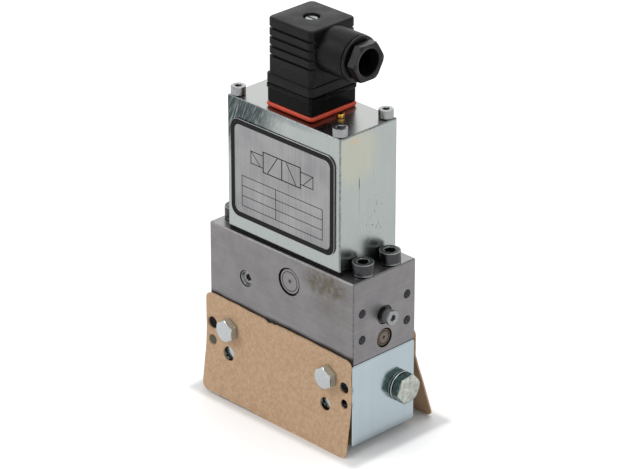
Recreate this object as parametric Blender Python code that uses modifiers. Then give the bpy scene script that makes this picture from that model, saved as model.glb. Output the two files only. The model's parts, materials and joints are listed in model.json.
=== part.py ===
"""Solenoid directional valve: two solenoids push poppets through bell-crank levers.

Frame: origin at the centre of the port block's bottom face, +X to the right,
+Y to the rear, +Z up. All sizes are in metres.
"""
import math

import bmesh
import bpy
from mathutils import Matrix, Vector

# Clearances
PLAY = 0.0003
HEAD_CLEARANCE = 0.0004
OVERCUT = 0.001

# Solenoid housing
HOUSING_DEPTH = 0.036
HOUSING_HEIGHT = 0.0653
HOUSING_SIDE_WALL = 0.0025
HOUSING_END_WALL = 0.0032
HOUSING_ROOF = 0.006
HOUSING_EDGE = 0.0005
COIL_WEB = 0.004
WIRE_SLOT_LENGTH = 0.024
WIRE_SLOT_WIDTH = 0.012

# Solenoids
TUBE_RADIUS = 0.008
TUBE_WALL = 0.0008
POLE_FLANGE_THICKNESS = 0.0045
POLE_CORE_SHARE = 0.41
ARMATURE_HEADROOM = 0.0047
ARMATURE_AIR_GAP = 0.003
PUSH_PIN_RADIUS = 0.0015
PUSH_PIN_SEAT_DEPTH = 0.005

# Blocks
FRONT_LEDGE = 0.002
PORT_BLOCK_HEIGHT = 0.041
VALVE_BODY_HEIGHT = 0.041
BLOCK_EDGE = 0.0006
SEAL_THICKNESS = 0.0007
SEAL_INSET = 0.0004

# Cap screws
M4_RADIUS = 0.002
M4_HEAD_RADIUS = 0.0035
M4_HEAD_HEIGHT = 0.004
M4_SOCKET_FLATS = 0.003
M4_GRIP = 0.008
M6_RADIUS = 0.003
M6_HEAD_RADIUS = 0.005
M6_HEAD_HEIGHT = 0.006
M6_SOCKET_FLATS = 0.005
M6_GRIP = 0.012
SOCKET_DEPTH_SHARE = 0.55
TAP_RUNOUT = 0.001

# Poppet line, inside each end of the valve body
LINE_DEPTH = 0.0215
TAPPET_RADIUS = 0.0031
BUSH_WALL = 0.001
BUSH_LENGTH = 0.0105
BORE_WALL = 0.0006
COLLAR_RADIUS = 0.0039
COLLAR_LENGTH = 0.002
NECK_RADIUS = 0.0017
SPRING_LENGTH = 0.0095
SPRING_WIRE_RADIUS = 0.0004
SPRING_TURNS = 6
SEAT_LENGTH = 0.006
SEAT_WALL = 0.0012
POPPET_CONE_LENGTH = 0.0022
POPPET_LIP = 0.0003
POPPET_TAIL = 0.0025
POPPET_THREAD_DEPTH = 0.004
TAPPET_STROKE = 0.0012
SCREW_STANDOFF = 0.0015
OVERRIDE_GRIP = 0.006
END_RECESS = 0.0004

# Bell-crank lever
LEVER_ARM = 0.0095
LEVER_DROP = 0.0105
LEVER_THICKNESS = 0.005
LEVER_HUB_RADIUS = 0.003
LEVER_PIN_RADIUS = 0.0012
LEVER_PAD_RADIUS = 0.002
LEVER_TIP_RADIUS = 0.0015
LEVER_ARM_HEIGHT = 0.0028
LEVER_LEG_WIDTH = 0.0022
LEVER_PIN_BLIND_END = 0.009

# Passages, plugs and tapped holes
PORT_RADIUS = 0.005
PORT_HEIGHT = 0.018
PORT_TO_AXIS = 0.001
PASSAGE_RADIUS = 0.0025
PASSAGE_OFFSET = 0.0035
FRONT_PORT_X = 0.012
REAR_PORT_X = 0.026
GALLERY_DEPTH = 0.0332
GALLERY_PLUG_RADIUS = 0.0045
GALLERY_PLUG_LENGTH = 0.008
GALLERY_RADIUS = 0.003
END_HOLE_RADIUS = 0.0022
END_HOLE_PITCH_Y = 0.0288
END_HOLE_UPPER_DEPTH = 0.0162
END_HOLE_PITCH_Z = 0.0132
END_HOLE_LENGTH = 0.008
SOCKET_PLUG_RADIUS = 0.0038
SOCKET_PLUG_LENGTH = 0.007
SOCKET_PLUG_FLATS = 0.003
SOCKET_PLUG_X = -0.0228
SOCKET_PLUG_DEPTH = 0.0212
CORE_PLUG_RADIUS = 0.0066
CORE_PLUG_LENGTH = 0.007
CORE_PLUG_X = 0.0057
CORE_PLUG_DEPTH = 0.0128
CORE_PLUG_DIMPLE = 0.0022
PORT_PLUG_RADIUS = 0.004
PORT_PLUG_FLATS = 0.013
PORT_PLUG_HEAD = 0.0047
PORT_PLUG_LENGTH = 0.011
PORT_PLUG_Y = 0.0108
PORT_PLUG_TURN = 0.14
PORT_WASHER_RADIUS = 0.0072
PORT_WASHER_THICKNESS = 0.0006

# Nameplate
PLATE_MARGIN_SIDE = 0.0029
PLATE_MARGIN_TOP = 0.0095
PLATE_MARGIN_BOTTOM = 0.007
PLATE_THICKNESS = 0.0006
PLATE_CORNER = 0.005

# Plug connector
CONNECTOR_SIDE = 0.0296
CONNECTOR_CORNER = 0.002
GASKET_THICKNESS = 0.0021
INSERT_HEIGHT = 0.0088
SKIRT_HEIGHT = 0.0062
HOOD_HEIGHT = 0.0314
HOOD_INSET = 0.0008
HOOD_WALL = 0.0026
HOOD_ROOF = 0.006
HOOD_CORNER = 0.0018
CABLE_BOSS_RADIUS = 0.011
CABLE_BOSS_REACH = 0.0308
CABLE_AXIS_DROP = 0.0116
GLAND_BORE_RADIUS = 0.0075
GLAND_STEP_RADIUS = 0.005
GLAND_WASHER_THICKNESS = 0.001
GLAND_SEAL_LENGTH = 0.007
CABLE_RADIUS = 0.0038
GLAND_THREAD_LENGTH = 0.007
GLAND_NUT_FLATS = 0.017
GLAND_NUT_LENGTH = 0.0047
GLAND_NUT_BORE = 0.0062
GLAND_NUT_RIM = 0.0005
CONNECTOR_SCREW_RADIUS = 0.0015
CONNECTOR_SCREW_HEAD = 0.0032
CONNECTOR_SCREW_HEAD_HEIGHT = 0.0022
SCREW_WELL_RADIUS = 0.0038
SCREW_WELL_DEPTH = 0.0034
CONNECTOR_SCREW_GRIP = 0.006
GROOVE_COUNT = 4
GROOVE_PITCH = 0.005
GROOVE_WIDTH = 0.0014
GROOVE_DEPTH = 0.0009
GROOVE_START = 0.0046
BLADE_THICKNESS = 0.001
BLADE_WIDTH = 0.006
BLADE_REACH = 0.0065
BLADE_OFFSET = 0.009
EARTH_SCREW_RADIUS = 0.0018
EARTH_SCREW_HEIGHT = 0.0016
EARTH_SCREW_GRIP = 0.004
EARTH_SCREW_GAP = 0.0017

# Protective cards and their bolts
CARD_WIDTH = 0.0952
CARD_THICKNESS = 0.0009
CARD_RISE = 0.0042
CARD_DROP = 0.0045
CARD_SHIFT = -0.0011
CARD_CORNER = 0.003
CARD_FOLD_HEIGHT = 0.0255
CARD_BEND_POWER = 1.3
FRONT_CARD_FLARE = 0.0036
REAR_CARD_FLARE = 0.0127
CARD_ROWS = 7
CARD_BOLT_X = 0.0325
CARD_BOLT_HEIGHT = 0.0319
CARD_BOLT_FLATS = 0.010
CARD_BOLT_HEAD = 0.004
CARD_NUT_HEIGHT = 0.005
CARD_BOLT_TAIL = 0.0012
CARD_HOLE_PLACES = ((0.0041, 0.0303, 0.0028), (0.0038, 0.0222, 0.0023), (0.0156, 0.0180, 0.0033))
FLANGE_HOLE_LENGTH = 0.005
FLANGE_HOLE_SHIFT = 0.0015
FLANGE_HOLE_WALL = 0.001

ROUND_SIDES = 18
SMALL_SIDES = 10
TINY_SIDES = 8
LARGE_SIDES = 28
CORNER_STEPS = 4
SPRING_STEPS = 8
FLAT_UP = math.pi / 6

# Values that follow from the sizes above
COIL_BORE = HOUSING_DEPTH / 2 - HOUSING_SIDE_WALL
COIL_X = COIL_WEB / 2 + COIL_BORE
HOUSING_WIDTH = 2 * (COIL_X + COIL_BORE + HOUSING_END_WALL)
END_LEDGE = 2 * (M6_HEAD_RADIUS + HEAD_CLEARANCE)
BLOCK_WIDTH = HOUSING_WIDTH + 2 * END_LEDGE
BLOCK_DEPTH = HOUSING_DEPTH + 2 * FRONT_LEDGE
BODY_BOTTOM = PORT_BLOCK_HEIGHT + PLAY
BODY_TOP = BODY_BOTTOM + VALVE_BODY_HEIGHT
SEAL_BOTTOM = BODY_TOP + PLAY
HOUSING_BOTTOM = SEAL_BOTTOM + SEAL_THICKNESS + PLAY
HOUSING_TOP = HOUSING_BOTTOM + HOUSING_HEIGHT
COIL_ROOF = HOUSING_TOP - HOUSING_ROOF
END_X = BLOCK_WIDTH / 2
FRONT_Y = -BLOCK_DEPTH / 2
LINE_Z = BODY_TOP - LINE_DEPTH
BUSH_BORE = TAPPET_RADIUS + PLAY
BUSH_RADIUS = BUSH_BORE + BUSH_WALL
END_BORE = max(BUSH_RADIUS, COLLAR_RADIUS) + PLAY
SEAT_BORE = END_BORE - PLAY - SEAT_WALL
POPPET_RADIUS = SEAT_BORE + POPPET_LIP
MID_BORE = POPPET_RADIUS + PLAY
BUSH_OUTER = END_X - END_RECESS
BUSH_INNER = BUSH_OUTER - BUSH_LENGTH
COLLAR_OUTER = BUSH_INNER - PLAY
COLLAR_INNER = COLLAR_OUTER - COLLAR_LENGTH
SEAT_OUTER = COLLAR_INNER - SPRING_LENGTH - 2 * PLAY
SEAT_INNER = SEAT_OUTER - SEAT_LENGTH
SEAT_SHOULDER = SEAT_INNER - PLAY
LEVER_X = COIL_X - LEVER_ARM
LEVER_Z = LINE_Z + LEVER_DROP
PIN_TRAVEL = TAPPET_STROKE * LEVER_ARM / LEVER_DROP
CHAMBER_HALF_WIDTH = LEVER_THICKNESS / 2 + 2 * PLAY
COIL_WINDOW = HOUSING_HEIGHT - HOUSING_ROOF - POLE_FLANGE_THICKNESS
POLE_CORE_HEIGHT = POLE_CORE_SHARE * COIL_WINDOW
POLE_TOP = HOUSING_BOTTOM + POLE_FLANGE_THICKNESS + POLE_CORE_HEIGHT
ARMATURE_BOTTOM = POLE_TOP + ARMATURE_AIR_GAP + PIN_TRAVEL
ARMATURE_TOP = COIL_ROOF - ARMATURE_HEADROOM
CORE_RADIUS = TUBE_RADIUS - TUBE_WALL - PLAY
BODY_SCREW_X = END_X - END_LEDGE / 2
BODY_SCREW_Y = END_BORE + BORE_WALL + M6_RADIUS + PLAY
HOUSING_SCREW_X = HOUSING_WIDTH / 2 - M4_HEAD_RADIUS - HEAD_CLEARANCE / 4
HOUSING_SCREW_Y = HOUSING_DEPTH / 2 - M4_HEAD_RADIUS - HEAD_CLEARANCE / 4
GASKET_BOTTOM = HOUSING_TOP + PLAY
INSERT_BOTTOM = GASKET_BOTTOM + GASKET_THICKNESS + PLAY
HOOD_BOTTOM = INSERT_BOTTOM + INSERT_HEIGHT + PLAY
HOOD_TOP = HOOD_BOTTOM + HOOD_HEIGHT
CABLE_Z = HOOD_TOP - CABLE_AXIS_DROP
HOOD_SIDE = CONNECTOR_SIDE - 2 * HOOD_INSET
SCREW_SEAT_Z = HOOD_TOP - SCREW_WELL_DEPTH
CARD_FRONT_Y = FRONT_Y - PLAY
CARD_TOP = PORT_BLOCK_HEIGHT + CARD_RISE
PORT_PLUG_Z = PORT_BLOCK_HEIGHT / 2
CARD_HOLES = tuple((CARD_WIDTH / 2 - inset, height, radius) for inset, height, radius in CARD_HOLE_PLACES)
FRONT_PLUGS = {
    "front_socket_plug": (SOCKET_PLUG_X, BODY_TOP - SOCKET_PLUG_DEPTH, SOCKET_PLUG_RADIUS, SOCKET_PLUG_LENGTH),
    "front_core_plug": (CORE_PLUG_X, BODY_TOP - CORE_PLUG_DEPTH, CORE_PLUG_RADIUS, CORE_PLUG_LENGTH),
}

COLLECTION_NAME = "solenoid_directional_valve"
CUTTER_COLLECTION_NAME = "cutters"


def start_clean():
    """Remove what the scene holds and make the two collections."""
    for item in list(bpy.data.objects):
        bpy.data.objects.remove(item, do_unlink=True)
    groups = []
    for label in (COLLECTION_NAME, CUTTER_COLLECTION_NAME):
        group = bpy.data.collections.new(label)
        bpy.context.scene.collection.children.link(group)
        groups.append(group)
    return groups


PARTS, CUTTERS = start_clean()


def finish(name, color, roughness, metallic):
    """Make a Principled material."""
    material = bpy.data.materials.new(name)
    material.use_nodes = True
    shader = material.node_tree.nodes["Principled BSDF"]
    shader.inputs["Base Color"].default_value = (*color, 1.0)
    shader.inputs["Roughness"].default_value = roughness
    shader.inputs["Metallic"].default_value = metallic
    return material


def add_mesh(name, bm, material, group=PARTS):
    """Turn a bmesh into a named object with its material."""
    bmesh.ops.recalc_face_normals(bm, faces=bm.faces)
    mesh = bpy.data.meshes.new(name)
    bm.to_mesh(mesh)
    bm.free()
    item = bpy.data.objects.new(name, mesh)
    group.objects.link(item)
    if material is not None:
        mesh.materials.append(material)
    return item


def axis_matrix(start, end):
    """Place a Z-aligned shape of unit length from start to end."""
    start = Vector(start)
    run = Vector(end) - start
    turn = run.to_track_quat("Z", "Y").to_matrix().to_4x4()
    return Matrix.Translation(start + run / 2) @ turn, run.length


def box_mesh(low, high):
    """A box between two corners."""
    bm = bmesh.new()
    bmesh.ops.create_cube(bm, size=1.0)
    low = Vector(low)
    high = Vector(high)
    bmesh.ops.scale(bm, vec=high - low, verts=bm.verts)
    bmesh.ops.translate(bm, vec=(low + high) / 2, verts=bm.verts)
    return bm


def rod_mesh(radius, start, end, sides=ROUND_SIDES, end_radius=None, turn=0.0):
    """A round, conical or many-sided rod between two points."""
    bm = bmesh.new()
    matrix, length = axis_matrix(start, end)
    bmesh.ops.create_cone(
        bm,
        cap_ends=True,
        segments=sides,
        radius1=radius,
        radius2=radius if end_radius is None else end_radius,
        depth=length,
        matrix=matrix @ Matrix.Rotation(turn, 4, "Z"),
    )
    return bm


def prism_mesh(low, high, corner, steps=CORNER_STEPS, axis=2):
    """A box with rounded edges along one axis."""
    bm = box_mesh(low, high)
    edges = []
    for edge in bm.edges:
        run = edge.verts[1].co - edge.verts[0].co
        if abs(run[axis]) > 0.5 * run.length:
            edges.append(edge)
    bmesh.ops.bevel(bm, geom=edges, offset=corner, segments=steps, affect="EDGES", profile=0.5)
    return bm


def hide_as_cutter(item):
    """Show a cutter as a wire guide only."""
    item.hide_render = True
    item.display_type = "WIRE"
    return item


def combine(target, bm, operation, label):
    """Cut or join a shape to a piece with a live Boolean modifier."""
    cutter = add_mesh(f"{target.name}.{label}", bm, None, CUTTERS)
    hide_as_cutter(cutter)
    cutter.matrix_world = target.matrix_basis
    step = target.modifiers.new(label, "BOOLEAN")
    step.operation = operation
    step.object = cutter
    return cutter


def cut(target, bm, label):
    """Take a shape away from a piece."""
    combine(target, bm, "DIFFERENCE", label)


def join(target, bm, label):
    """Add a shape to a piece."""
    combine(target, bm, "UNION", label)


def soften(item, width):
    """Break a machined block's long edges with a small chamfer."""
    step = item.modifiers.new("edge_break", "BEVEL")
    step.width = width
    step.segments = 1
    step.limit_method = "ANGLE"


def shade_round(item, angle=math.radians(35)):
    """Shade a round piece smooth, with its crisp edges kept."""
    item.data.shade_smooth()
    item.data.set_sharp_from_angle(angle=angle)


def turned(name, profile, material, place, sides=ROUND_SIDES):
    """A turned ring: a closed profile of (radius, height) carried round the Z axis."""
    bm = bmesh.new()
    points = [bm.verts.new((radius, 0.0, height)) for radius, height in profile]
    for first, second in zip(points, points[1:] + points[:1]):
        bm.edges.new((first, second))
    mesh = bpy.data.meshes.new(name)
    bm.to_mesh(mesh)
    bm.free()
    mesh.materials.append(material)
    item = bpy.data.objects.new(name, mesh)
    PARTS.objects.link(item)
    item.matrix_world = place
    step = item.modifiers.new("turn", "SCREW")
    step.steps = sides
    step.render_steps = sides
    step.use_merge_vertices = True
    step.merge_threshold = 0.00001
    step.use_smooth_shade = False
    return item


def ring_profile(inner, outer, bottom, top):
    """A plain ring: down the outer side, then up the inner side."""
    return [(outer, top), (outer, bottom), (inner, bottom), (inner, top)]


def upright(x, y):
    """Place a turned piece on a vertical axis."""
    return Matrix.Translation((x, y, 0.0))


def along_x(side, height):
    """Lay a turned piece's axis along X, pointing out of one end of the body."""
    return Matrix.Translation((0.0, 0.0, height)) @ Matrix.Rotation(side * math.pi / 2, 4, "Y")


def hex_radius(flats):
    """Corner radius of a hexagon from its width across flats."""
    return flats / math.sqrt(3)


def cap_screw(name, seat, direction, sizes, grip_end, material):
    """A socket head cap screw: seat is under the head, grip_end is the shank's tip."""
    radius, head_radius, head_height, flats = sizes
    seat = Vector(seat)
    direction = Vector(direction)
    top = seat + direction * head_height
    sunk = seat + direction * head_height * 0.5
    screw = add_mesh(name, rod_mesh(head_radius, seat, top), material)
    join(screw, rod_mesh(radius, sunk, grip_end, SMALL_SIDES), "shank")
    floor = top - direction * head_height * SOCKET_DEPTH_SHARE
    cut(screw, rod_mesh(hex_radius(flats), floor, top + direction * OVERCUT, 6), "socket")
    return screw


M4_SIZES = (M4_RADIUS, M4_HEAD_RADIUS, M4_HEAD_HEIGHT, M4_SOCKET_FLATS)
M6_SIZES = (M6_RADIUS, M6_HEAD_RADIUS, M6_HEAD_HEIGHT, M6_SOCKET_FLATS)

ZINC = finish("zinc_plate", (0.62, 0.66, 0.66), 0.3, 1.0)
GROUND_STEEL = finish("ground_steel", (0.27, 0.26, 0.27), 0.45, 1.0)
BLUE_ZINC = finish("blue_zinc", (0.55, 0.6, 0.63), 0.35, 1.0)
DARK_STEEL = finish("dark_steel", (0.12, 0.12, 0.12), 0.4, 1.0)
BRIGHT_STEEL = finish("bright_steel", (0.55, 0.56, 0.56), 0.25, 1.0)
BLACK_PLASTIC = finish("black_plastic", (0.02, 0.02, 0.02), 0.6, 0.0)
GLOSS_PLASTIC = finish("gloss_plastic", (0.008, 0.008, 0.008), 0.25, 0.0)
BLACK_RUBBER = finish("black_rubber", (0.015, 0.015, 0.015), 0.8, 0.0)
ORANGE_RUBBER = finish("orange_rubber", (0.6, 0.08, 0.03), 0.6, 0.0)
BRASS = finish("brass", (0.6, 0.33, 0.07), 0.25, 1.0)
KRAFT = finish("kraft_card", (0.48, 0.31, 0.19), 0.9, 0.0)
PLATE = finish("plate_metal", (0.45, 0.45, 0.45), 0.4, 1.0)
COIL_RESIN = finish("coil_resin", (0.1, 0.03, 0.02), 0.5, 0.0)


def corners(x, y):
    """The four corners of a rectangle round the Z axis."""
    return [(sx * x, sy * y) for sx in (-1, 1) for sy in (-1, 1)]


def build_port_block():
    """Lower block with the ports, their passages and the tapped holes."""
    half = BLOCK_WIDTH / 2
    block = add_mesh("port_block", box_mesh((-half, FRONT_Y, 0), (half, -FRONT_Y, PORT_BLOCK_HEIGHT)), BLUE_ZINC)
    soften(block, BLOCK_EDGE)
    for index, (x, y) in enumerate(corners(BODY_SCREW_X, BODY_SCREW_Y)):
        bottom = PORT_BLOCK_HEIGHT - M6_GRIP - TAP_RUNOUT
        hole = rod_mesh(M6_RADIUS + PLAY, (x, y, bottom), (x, y, PORT_BLOCK_HEIGHT + OVERCUT), SMALL_SIDES)
        cut(block, hole, f"tapped_{index}")
    for side in (-1, 1):
        x = side * CARD_BOLT_X
        start = (x, FRONT_Y - OVERCUT, CARD_BOLT_HEIGHT)
        end = (x, OVERCUT - FRONT_Y, CARD_BOLT_HEIGHT)
        cut(block, rod_mesh(M6_RADIUS + PLAY, start, end, SMALL_SIDES), f"card_bolt_{side}")
        for face, port_x in ((-1, FRONT_PORT_X), (1, REAR_PORT_X)):
            x = side * port_x
            outer = (x, face * (OVERCUT - FRONT_Y), PORT_HEIGHT)
            cut(block, rod_mesh(PORT_RADIUS, outer, (x, face * PORT_TO_AXIS, PORT_HEIGHT)), f"port_{side}_{face}")
            y = face * PASSAGE_OFFSET
            top = (x, y, PORT_BLOCK_HEIGHT + OVERCUT)
            passage = rod_mesh(PASSAGE_RADIUS, (x, y, PORT_HEIGHT), top, SMALL_SIDES)
            cut(block, passage, f"passage_{side}_{face}")
        for index, (hole_x, hole_z, radius) in enumerate(CARD_HOLES):
            x = side * hole_x + CARD_SHIFT - FLANGE_HOLE_SHIFT
            if abs(x) + radius + FLANGE_HOLE_WALL > END_X:
                continue
            outer = (x, FRONT_Y - OVERCUT, hole_z)
            inner = (x, FRONT_Y + FLANGE_HOLE_LENGTH, hole_z)
            cut(block, rod_mesh(radius - PLAY, outer, inner, TINY_SIDES), f"flange_{side}_{index}")
    start = (END_X + OVERCUT, PORT_PLUG_Y, PORT_PLUG_Z)
    end = (END_X - PORT_PLUG_LENGTH - TAP_RUNOUT, PORT_PLUG_Y, PORT_PLUG_Z)
    cut(block, rod_mesh(PORT_PLUG_RADIUS + PLAY, start, end, SMALL_SIDES), "port_plug")


def build_valve_body():
    """Upper block with the poppet line, lever chambers, passages and plugs' bores."""
    low = (-BLOCK_WIDTH / 2, FRONT_Y, BODY_BOTTOM)
    high = (BLOCK_WIDTH / 2, -FRONT_Y, BODY_TOP)
    body = add_mesh("valve_body", box_mesh(low, high), GROUND_STEEL)
    soften(body, BLOCK_EDGE)
    ends = ((-SEAT_SHOULDER - OVERCUT, 0, LINE_Z), (SEAT_SHOULDER + OVERCUT, 0, LINE_Z))
    cut(body, rod_mesh(MID_BORE, *ends), "mid_bore")
    for side in (-1, 1):
        shoulder = (side * SEAT_SHOULDER, 0, LINE_Z)
        mouth = (side * (END_X + OVERCUT), 0, LINE_Z)
        cut(body, rod_mesh(END_BORE, shoulder, mouth), f"end_bore_{side}")
        cut_lever_chamber(body, side)
        cut_end_holes(body, side)
        for face, port_x in ((-1, FRONT_PORT_X), (1, REAR_PORT_X)):
            x = side * port_x
            y = face * PASSAGE_OFFSET
            passage = rod_mesh(PASSAGE_RADIUS, (x, y, BODY_BOTTOM - OVERCUT), (x, y, LINE_Z), SMALL_SIDES)
            cut(body, passage, f"passage_{side}_{face}")
    for index, (x, y) in enumerate(corners(BODY_SCREW_X, BODY_SCREW_Y)):
        hole = rod_mesh(M6_RADIUS + PLAY, (x, y, BODY_BOTTOM - OVERCUT), (x, y, BODY_TOP + OVERCUT), SMALL_SIDES)
        cut(body, hole, f"through_{index}")
    for index, (x, y) in enumerate(corners(HOUSING_SCREW_X, HOUSING_SCREW_Y)):
        bottom = BODY_TOP - M4_GRIP - TAP_RUNOUT
        hole = rod_mesh(M4_RADIUS + PLAY, (x, y, bottom), (x, y, BODY_TOP + OVERCUT), SMALL_SIDES)
        cut(body, hole, f"tapped_{index}")
    gallery_z = BODY_TOP - GALLERY_DEPTH
    mouth = (END_X + OVERCUT, 0, gallery_z)
    floor = (END_X - GALLERY_PLUG_LENGTH - PLAY - END_RECESS, 0, gallery_z)
    cut(body, rod_mesh(GALLERY_PLUG_RADIUS + PLAY, mouth, floor), "gallery_plug")
    cut(body, rod_mesh(GALLERY_RADIUS, mouth, (REAR_PORT_X, 0, gallery_z), SMALL_SIDES), "gallery")
    for label, (x, z, radius, length) in FRONT_PLUGS.items():
        bore = rod_mesh(radius + PLAY, (x, FRONT_Y - OVERCUT, z), (x, FRONT_Y + length + PLAY, z))
        cut(body, bore, label)


def cut_lever_chamber(body, side):
    """Slot under the seal that holds one bell-crank lever and its pin."""
    swing = PIN_TRAVEL + 2 * PLAY
    inner = LEVER_X - LEVER_HUB_RADIUS - 2 * PLAY
    outer = COIL_X + LEVER_PAD_RADIUS + 2 * PLAY
    floor = LEVER_Z - LEVER_PAD_RADIUS - swing
    low_x, high_x = sorted((side * inner, side * outer))
    arm_slot = box_mesh((low_x, -CHAMBER_HALF_WIDTH, floor), (high_x, CHAMBER_HALF_WIDTH, BODY_TOP + OVERCUT))
    cut(body, arm_slot, f"arm_slot_{side}")
    leg_inner = LEVER_X - LEVER_HUB_RADIUS - TAPPET_STROKE - 2 * PLAY
    leg_outer = LEVER_X + LEVER_HUB_RADIUS + 2 * PLAY
    low_x, high_x = sorted((side * leg_inner, side * leg_outer))
    leg_slot = box_mesh((low_x, -CHAMBER_HALF_WIDTH, LINE_Z), (high_x, CHAMBER_HALF_WIDTH, LEVER_Z))
    cut(body, leg_slot, f"leg_slot_{side}")
    pin = ((side * LEVER_X, -LEVER_PIN_BLIND_END, LEVER_Z), (side * LEVER_X, OVERCUT - FRONT_Y, LEVER_Z))
    cut(body, rod_mesh(LEVER_PIN_RADIUS + PLAY, *pin, SMALL_SIDES), f"lever_pin_{side}")


def cut_end_holes(body, side):
    """Four tapped holes round the override on one end face."""
    for sign in (-1, 1):
        for row in (0, 1):
            y = sign * END_HOLE_PITCH_Y / 2
            z = BODY_TOP - END_HOLE_UPPER_DEPTH - row * END_HOLE_PITCH_Z
            mouth = (side * (END_X + OVERCUT), y, z)
            floor = (side * (END_X - END_HOLE_LENGTH), y, z)
            cut(body, rod_mesh(END_HOLE_RADIUS, mouth, floor), f"end_hole_{side}_{sign}_{row}")


def build_body_plugs():
    """Plugs that close the body's drilled bores."""
    x, z, radius, length = FRONT_PLUGS["front_socket_plug"]
    front = FRONT_Y + END_RECESS
    plug = add_mesh("front_socket_plug", rod_mesh(radius, (x, front, z), (x, FRONT_Y + length, z)), BRIGHT_STEEL)
    socket = rod_mesh(hex_radius(SOCKET_PLUG_FLATS), (x, FRONT_Y - OVERCUT, z), (x, front + length / 2, z), 6)
    cut(plug, socket, "socket")
    x, z, radius, length = FRONT_PLUGS["front_core_plug"]
    plug = add_mesh("front_core_plug", rod_mesh(radius, (x, front, z), (x, FRONT_Y + length, z)), DARK_STEEL)
    dimple = rod_mesh(CORE_PLUG_DIMPLE, (x, FRONT_Y - OVERCUT, z), (x, front + CORE_PLUG_DIMPLE, z), SMALL_SIDES)
    cut(plug, dimple, "dimple")
    z = BODY_TOP - GALLERY_DEPTH
    face = END_X - END_RECESS
    solid = rod_mesh(GALLERY_PLUG_RADIUS, (face, 0, z), (face - GALLERY_PLUG_LENGTH, 0, z))
    plug = add_mesh("gallery_plug", solid, DARK_STEEL)
    dimple = rod_mesh(CORE_PLUG_DIMPLE / 2, (END_X + OVERCUT, 0, z), (face - CORE_PLUG_DIMPLE, 0, z), SMALL_SIDES)
    cut(plug, dimple, "dimple")


def build_port_plug():
    """Hexagon plug with its flat washer on the port block's right end."""
    y = PORT_PLUG_Y
    z = PORT_PLUG_Z
    washer_in = END_X + PLAY
    washer_out = washer_in + PORT_WASHER_THICKNESS
    place = Matrix.Translation((0, y, z)) @ Matrix.Rotation(math.pi / 2, 4, "Y")
    profile = ring_profile(PORT_PLUG_RADIUS + PLAY, PORT_WASHER_RADIUS, washer_in, washer_out)
    turned("port_washer", profile, BRIGHT_STEEL, place)
    head_in = washer_out + PLAY
    head_out = head_in + PORT_PLUG_HEAD
    turn = FLAT_UP + PORT_PLUG_TURN
    head = rod_mesh(hex_radius(PORT_PLUG_FLATS), (head_in, y, z), (head_out, y, z), 6, turn=turn)
    plug = add_mesh("port_plug", head, BLUE_ZINC)
    middle = (head_in + head_out) / 2
    join(plug, rod_mesh(PORT_PLUG_RADIUS, (middle, y, z), (END_X - PORT_PLUG_LENGTH, y, z)), "shank")


def build_body_screws():
    """Long screws that clamp the valve body to the port block."""
    for index, (x, y) in enumerate(corners(BODY_SCREW_X, BODY_SCREW_Y)):
        tip = (x, y, PORT_BLOCK_HEIGHT - M6_GRIP)
        cap_screw(f"body_screw_{index + 1}", (x, y, BODY_TOP + PLAY), (0, 0, 1), M6_SIZES, tip, DARK_STEEL)


def build_solenoid_seal():
    """Flat seal between the valve body and the solenoid housing."""
    x = HOUSING_WIDTH / 2 - SEAL_INSET
    y = HOUSING_DEPTH / 2 - SEAL_INSET
    top = SEAL_BOTTOM + SEAL_THICKNESS
    seal = add_mesh("solenoid_seal", box_mesh((-x, -y, SEAL_BOTTOM), (x, y, top)), BLACK_RUBBER)
    for index, (hole_x, hole_y) in enumerate(corners(HOUSING_SCREW_X, HOUSING_SCREW_Y)):
        start = (hole_x, hole_y, SEAL_BOTTOM - OVERCUT)
        end = (hole_x, hole_y, top + OVERCUT)
        cut(seal, rod_mesh(M4_RADIUS + PLAY, start, end, SMALL_SIDES), f"screw_{index}")
    for side in (-1, 1):
        start = (side * COIL_X, 0, SEAL_BOTTOM - OVERCUT)
        end = (side * COIL_X, 0, top + OVERCUT)
        cut(seal, rod_mesh(PUSH_PIN_RADIUS + 2 * PLAY, start, end, SMALL_SIDES), f"pin_{side}")


def build_solenoid_housing():
    """Steel yoke block with two coil bores, open at the bottom."""
    half_x = HOUSING_WIDTH / 2
    half_y = HOUSING_DEPTH / 2
    solid = box_mesh((-half_x, -half_y, HOUSING_BOTTOM), (half_x, half_y, HOUSING_TOP))
    housing = add_mesh("solenoid_housing", solid, ZINC)
    soften(housing, HOUSING_EDGE)
    for side in (-1, 1):
        start = (side * COIL_X, 0, HOUSING_BOTTOM - OVERCUT)
        cut(housing, rod_mesh(COIL_BORE, start, (side * COIL_X, 0, COIL_ROOF), LARGE_SIDES), f"coil_bore_{side}")
    slot = box_mesh(
        (-WIRE_SLOT_LENGTH / 2, -WIRE_SLOT_WIDTH / 2, COIL_ROOF - OVERCUT),
        (WIRE_SLOT_LENGTH / 2, WIRE_SLOT_WIDTH / 2, HOUSING_TOP + OVERCUT),
    )
    cut(housing, slot, "wire_slot")
    for index, (x, y) in enumerate(corners(HOUSING_SCREW_X, HOUSING_SCREW_Y)):
        start = (x, y, HOUSING_BOTTOM - OVERCUT)
        end = (x, y, HOUSING_TOP + OVERCUT)
        cut(housing, rod_mesh(M4_RADIUS + PLAY, start, end, SMALL_SIDES), f"screw_{index}")
        seat = (x, y, HOUSING_TOP + PLAY)
        tip = (x, y, BODY_TOP - M4_GRIP)
        cap_screw(f"housing_screw_{index + 1}", seat, (0, 0, 1), M4_SIZES, tip, BRIGHT_STEEL)
    build_earth_screw(housing)


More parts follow.
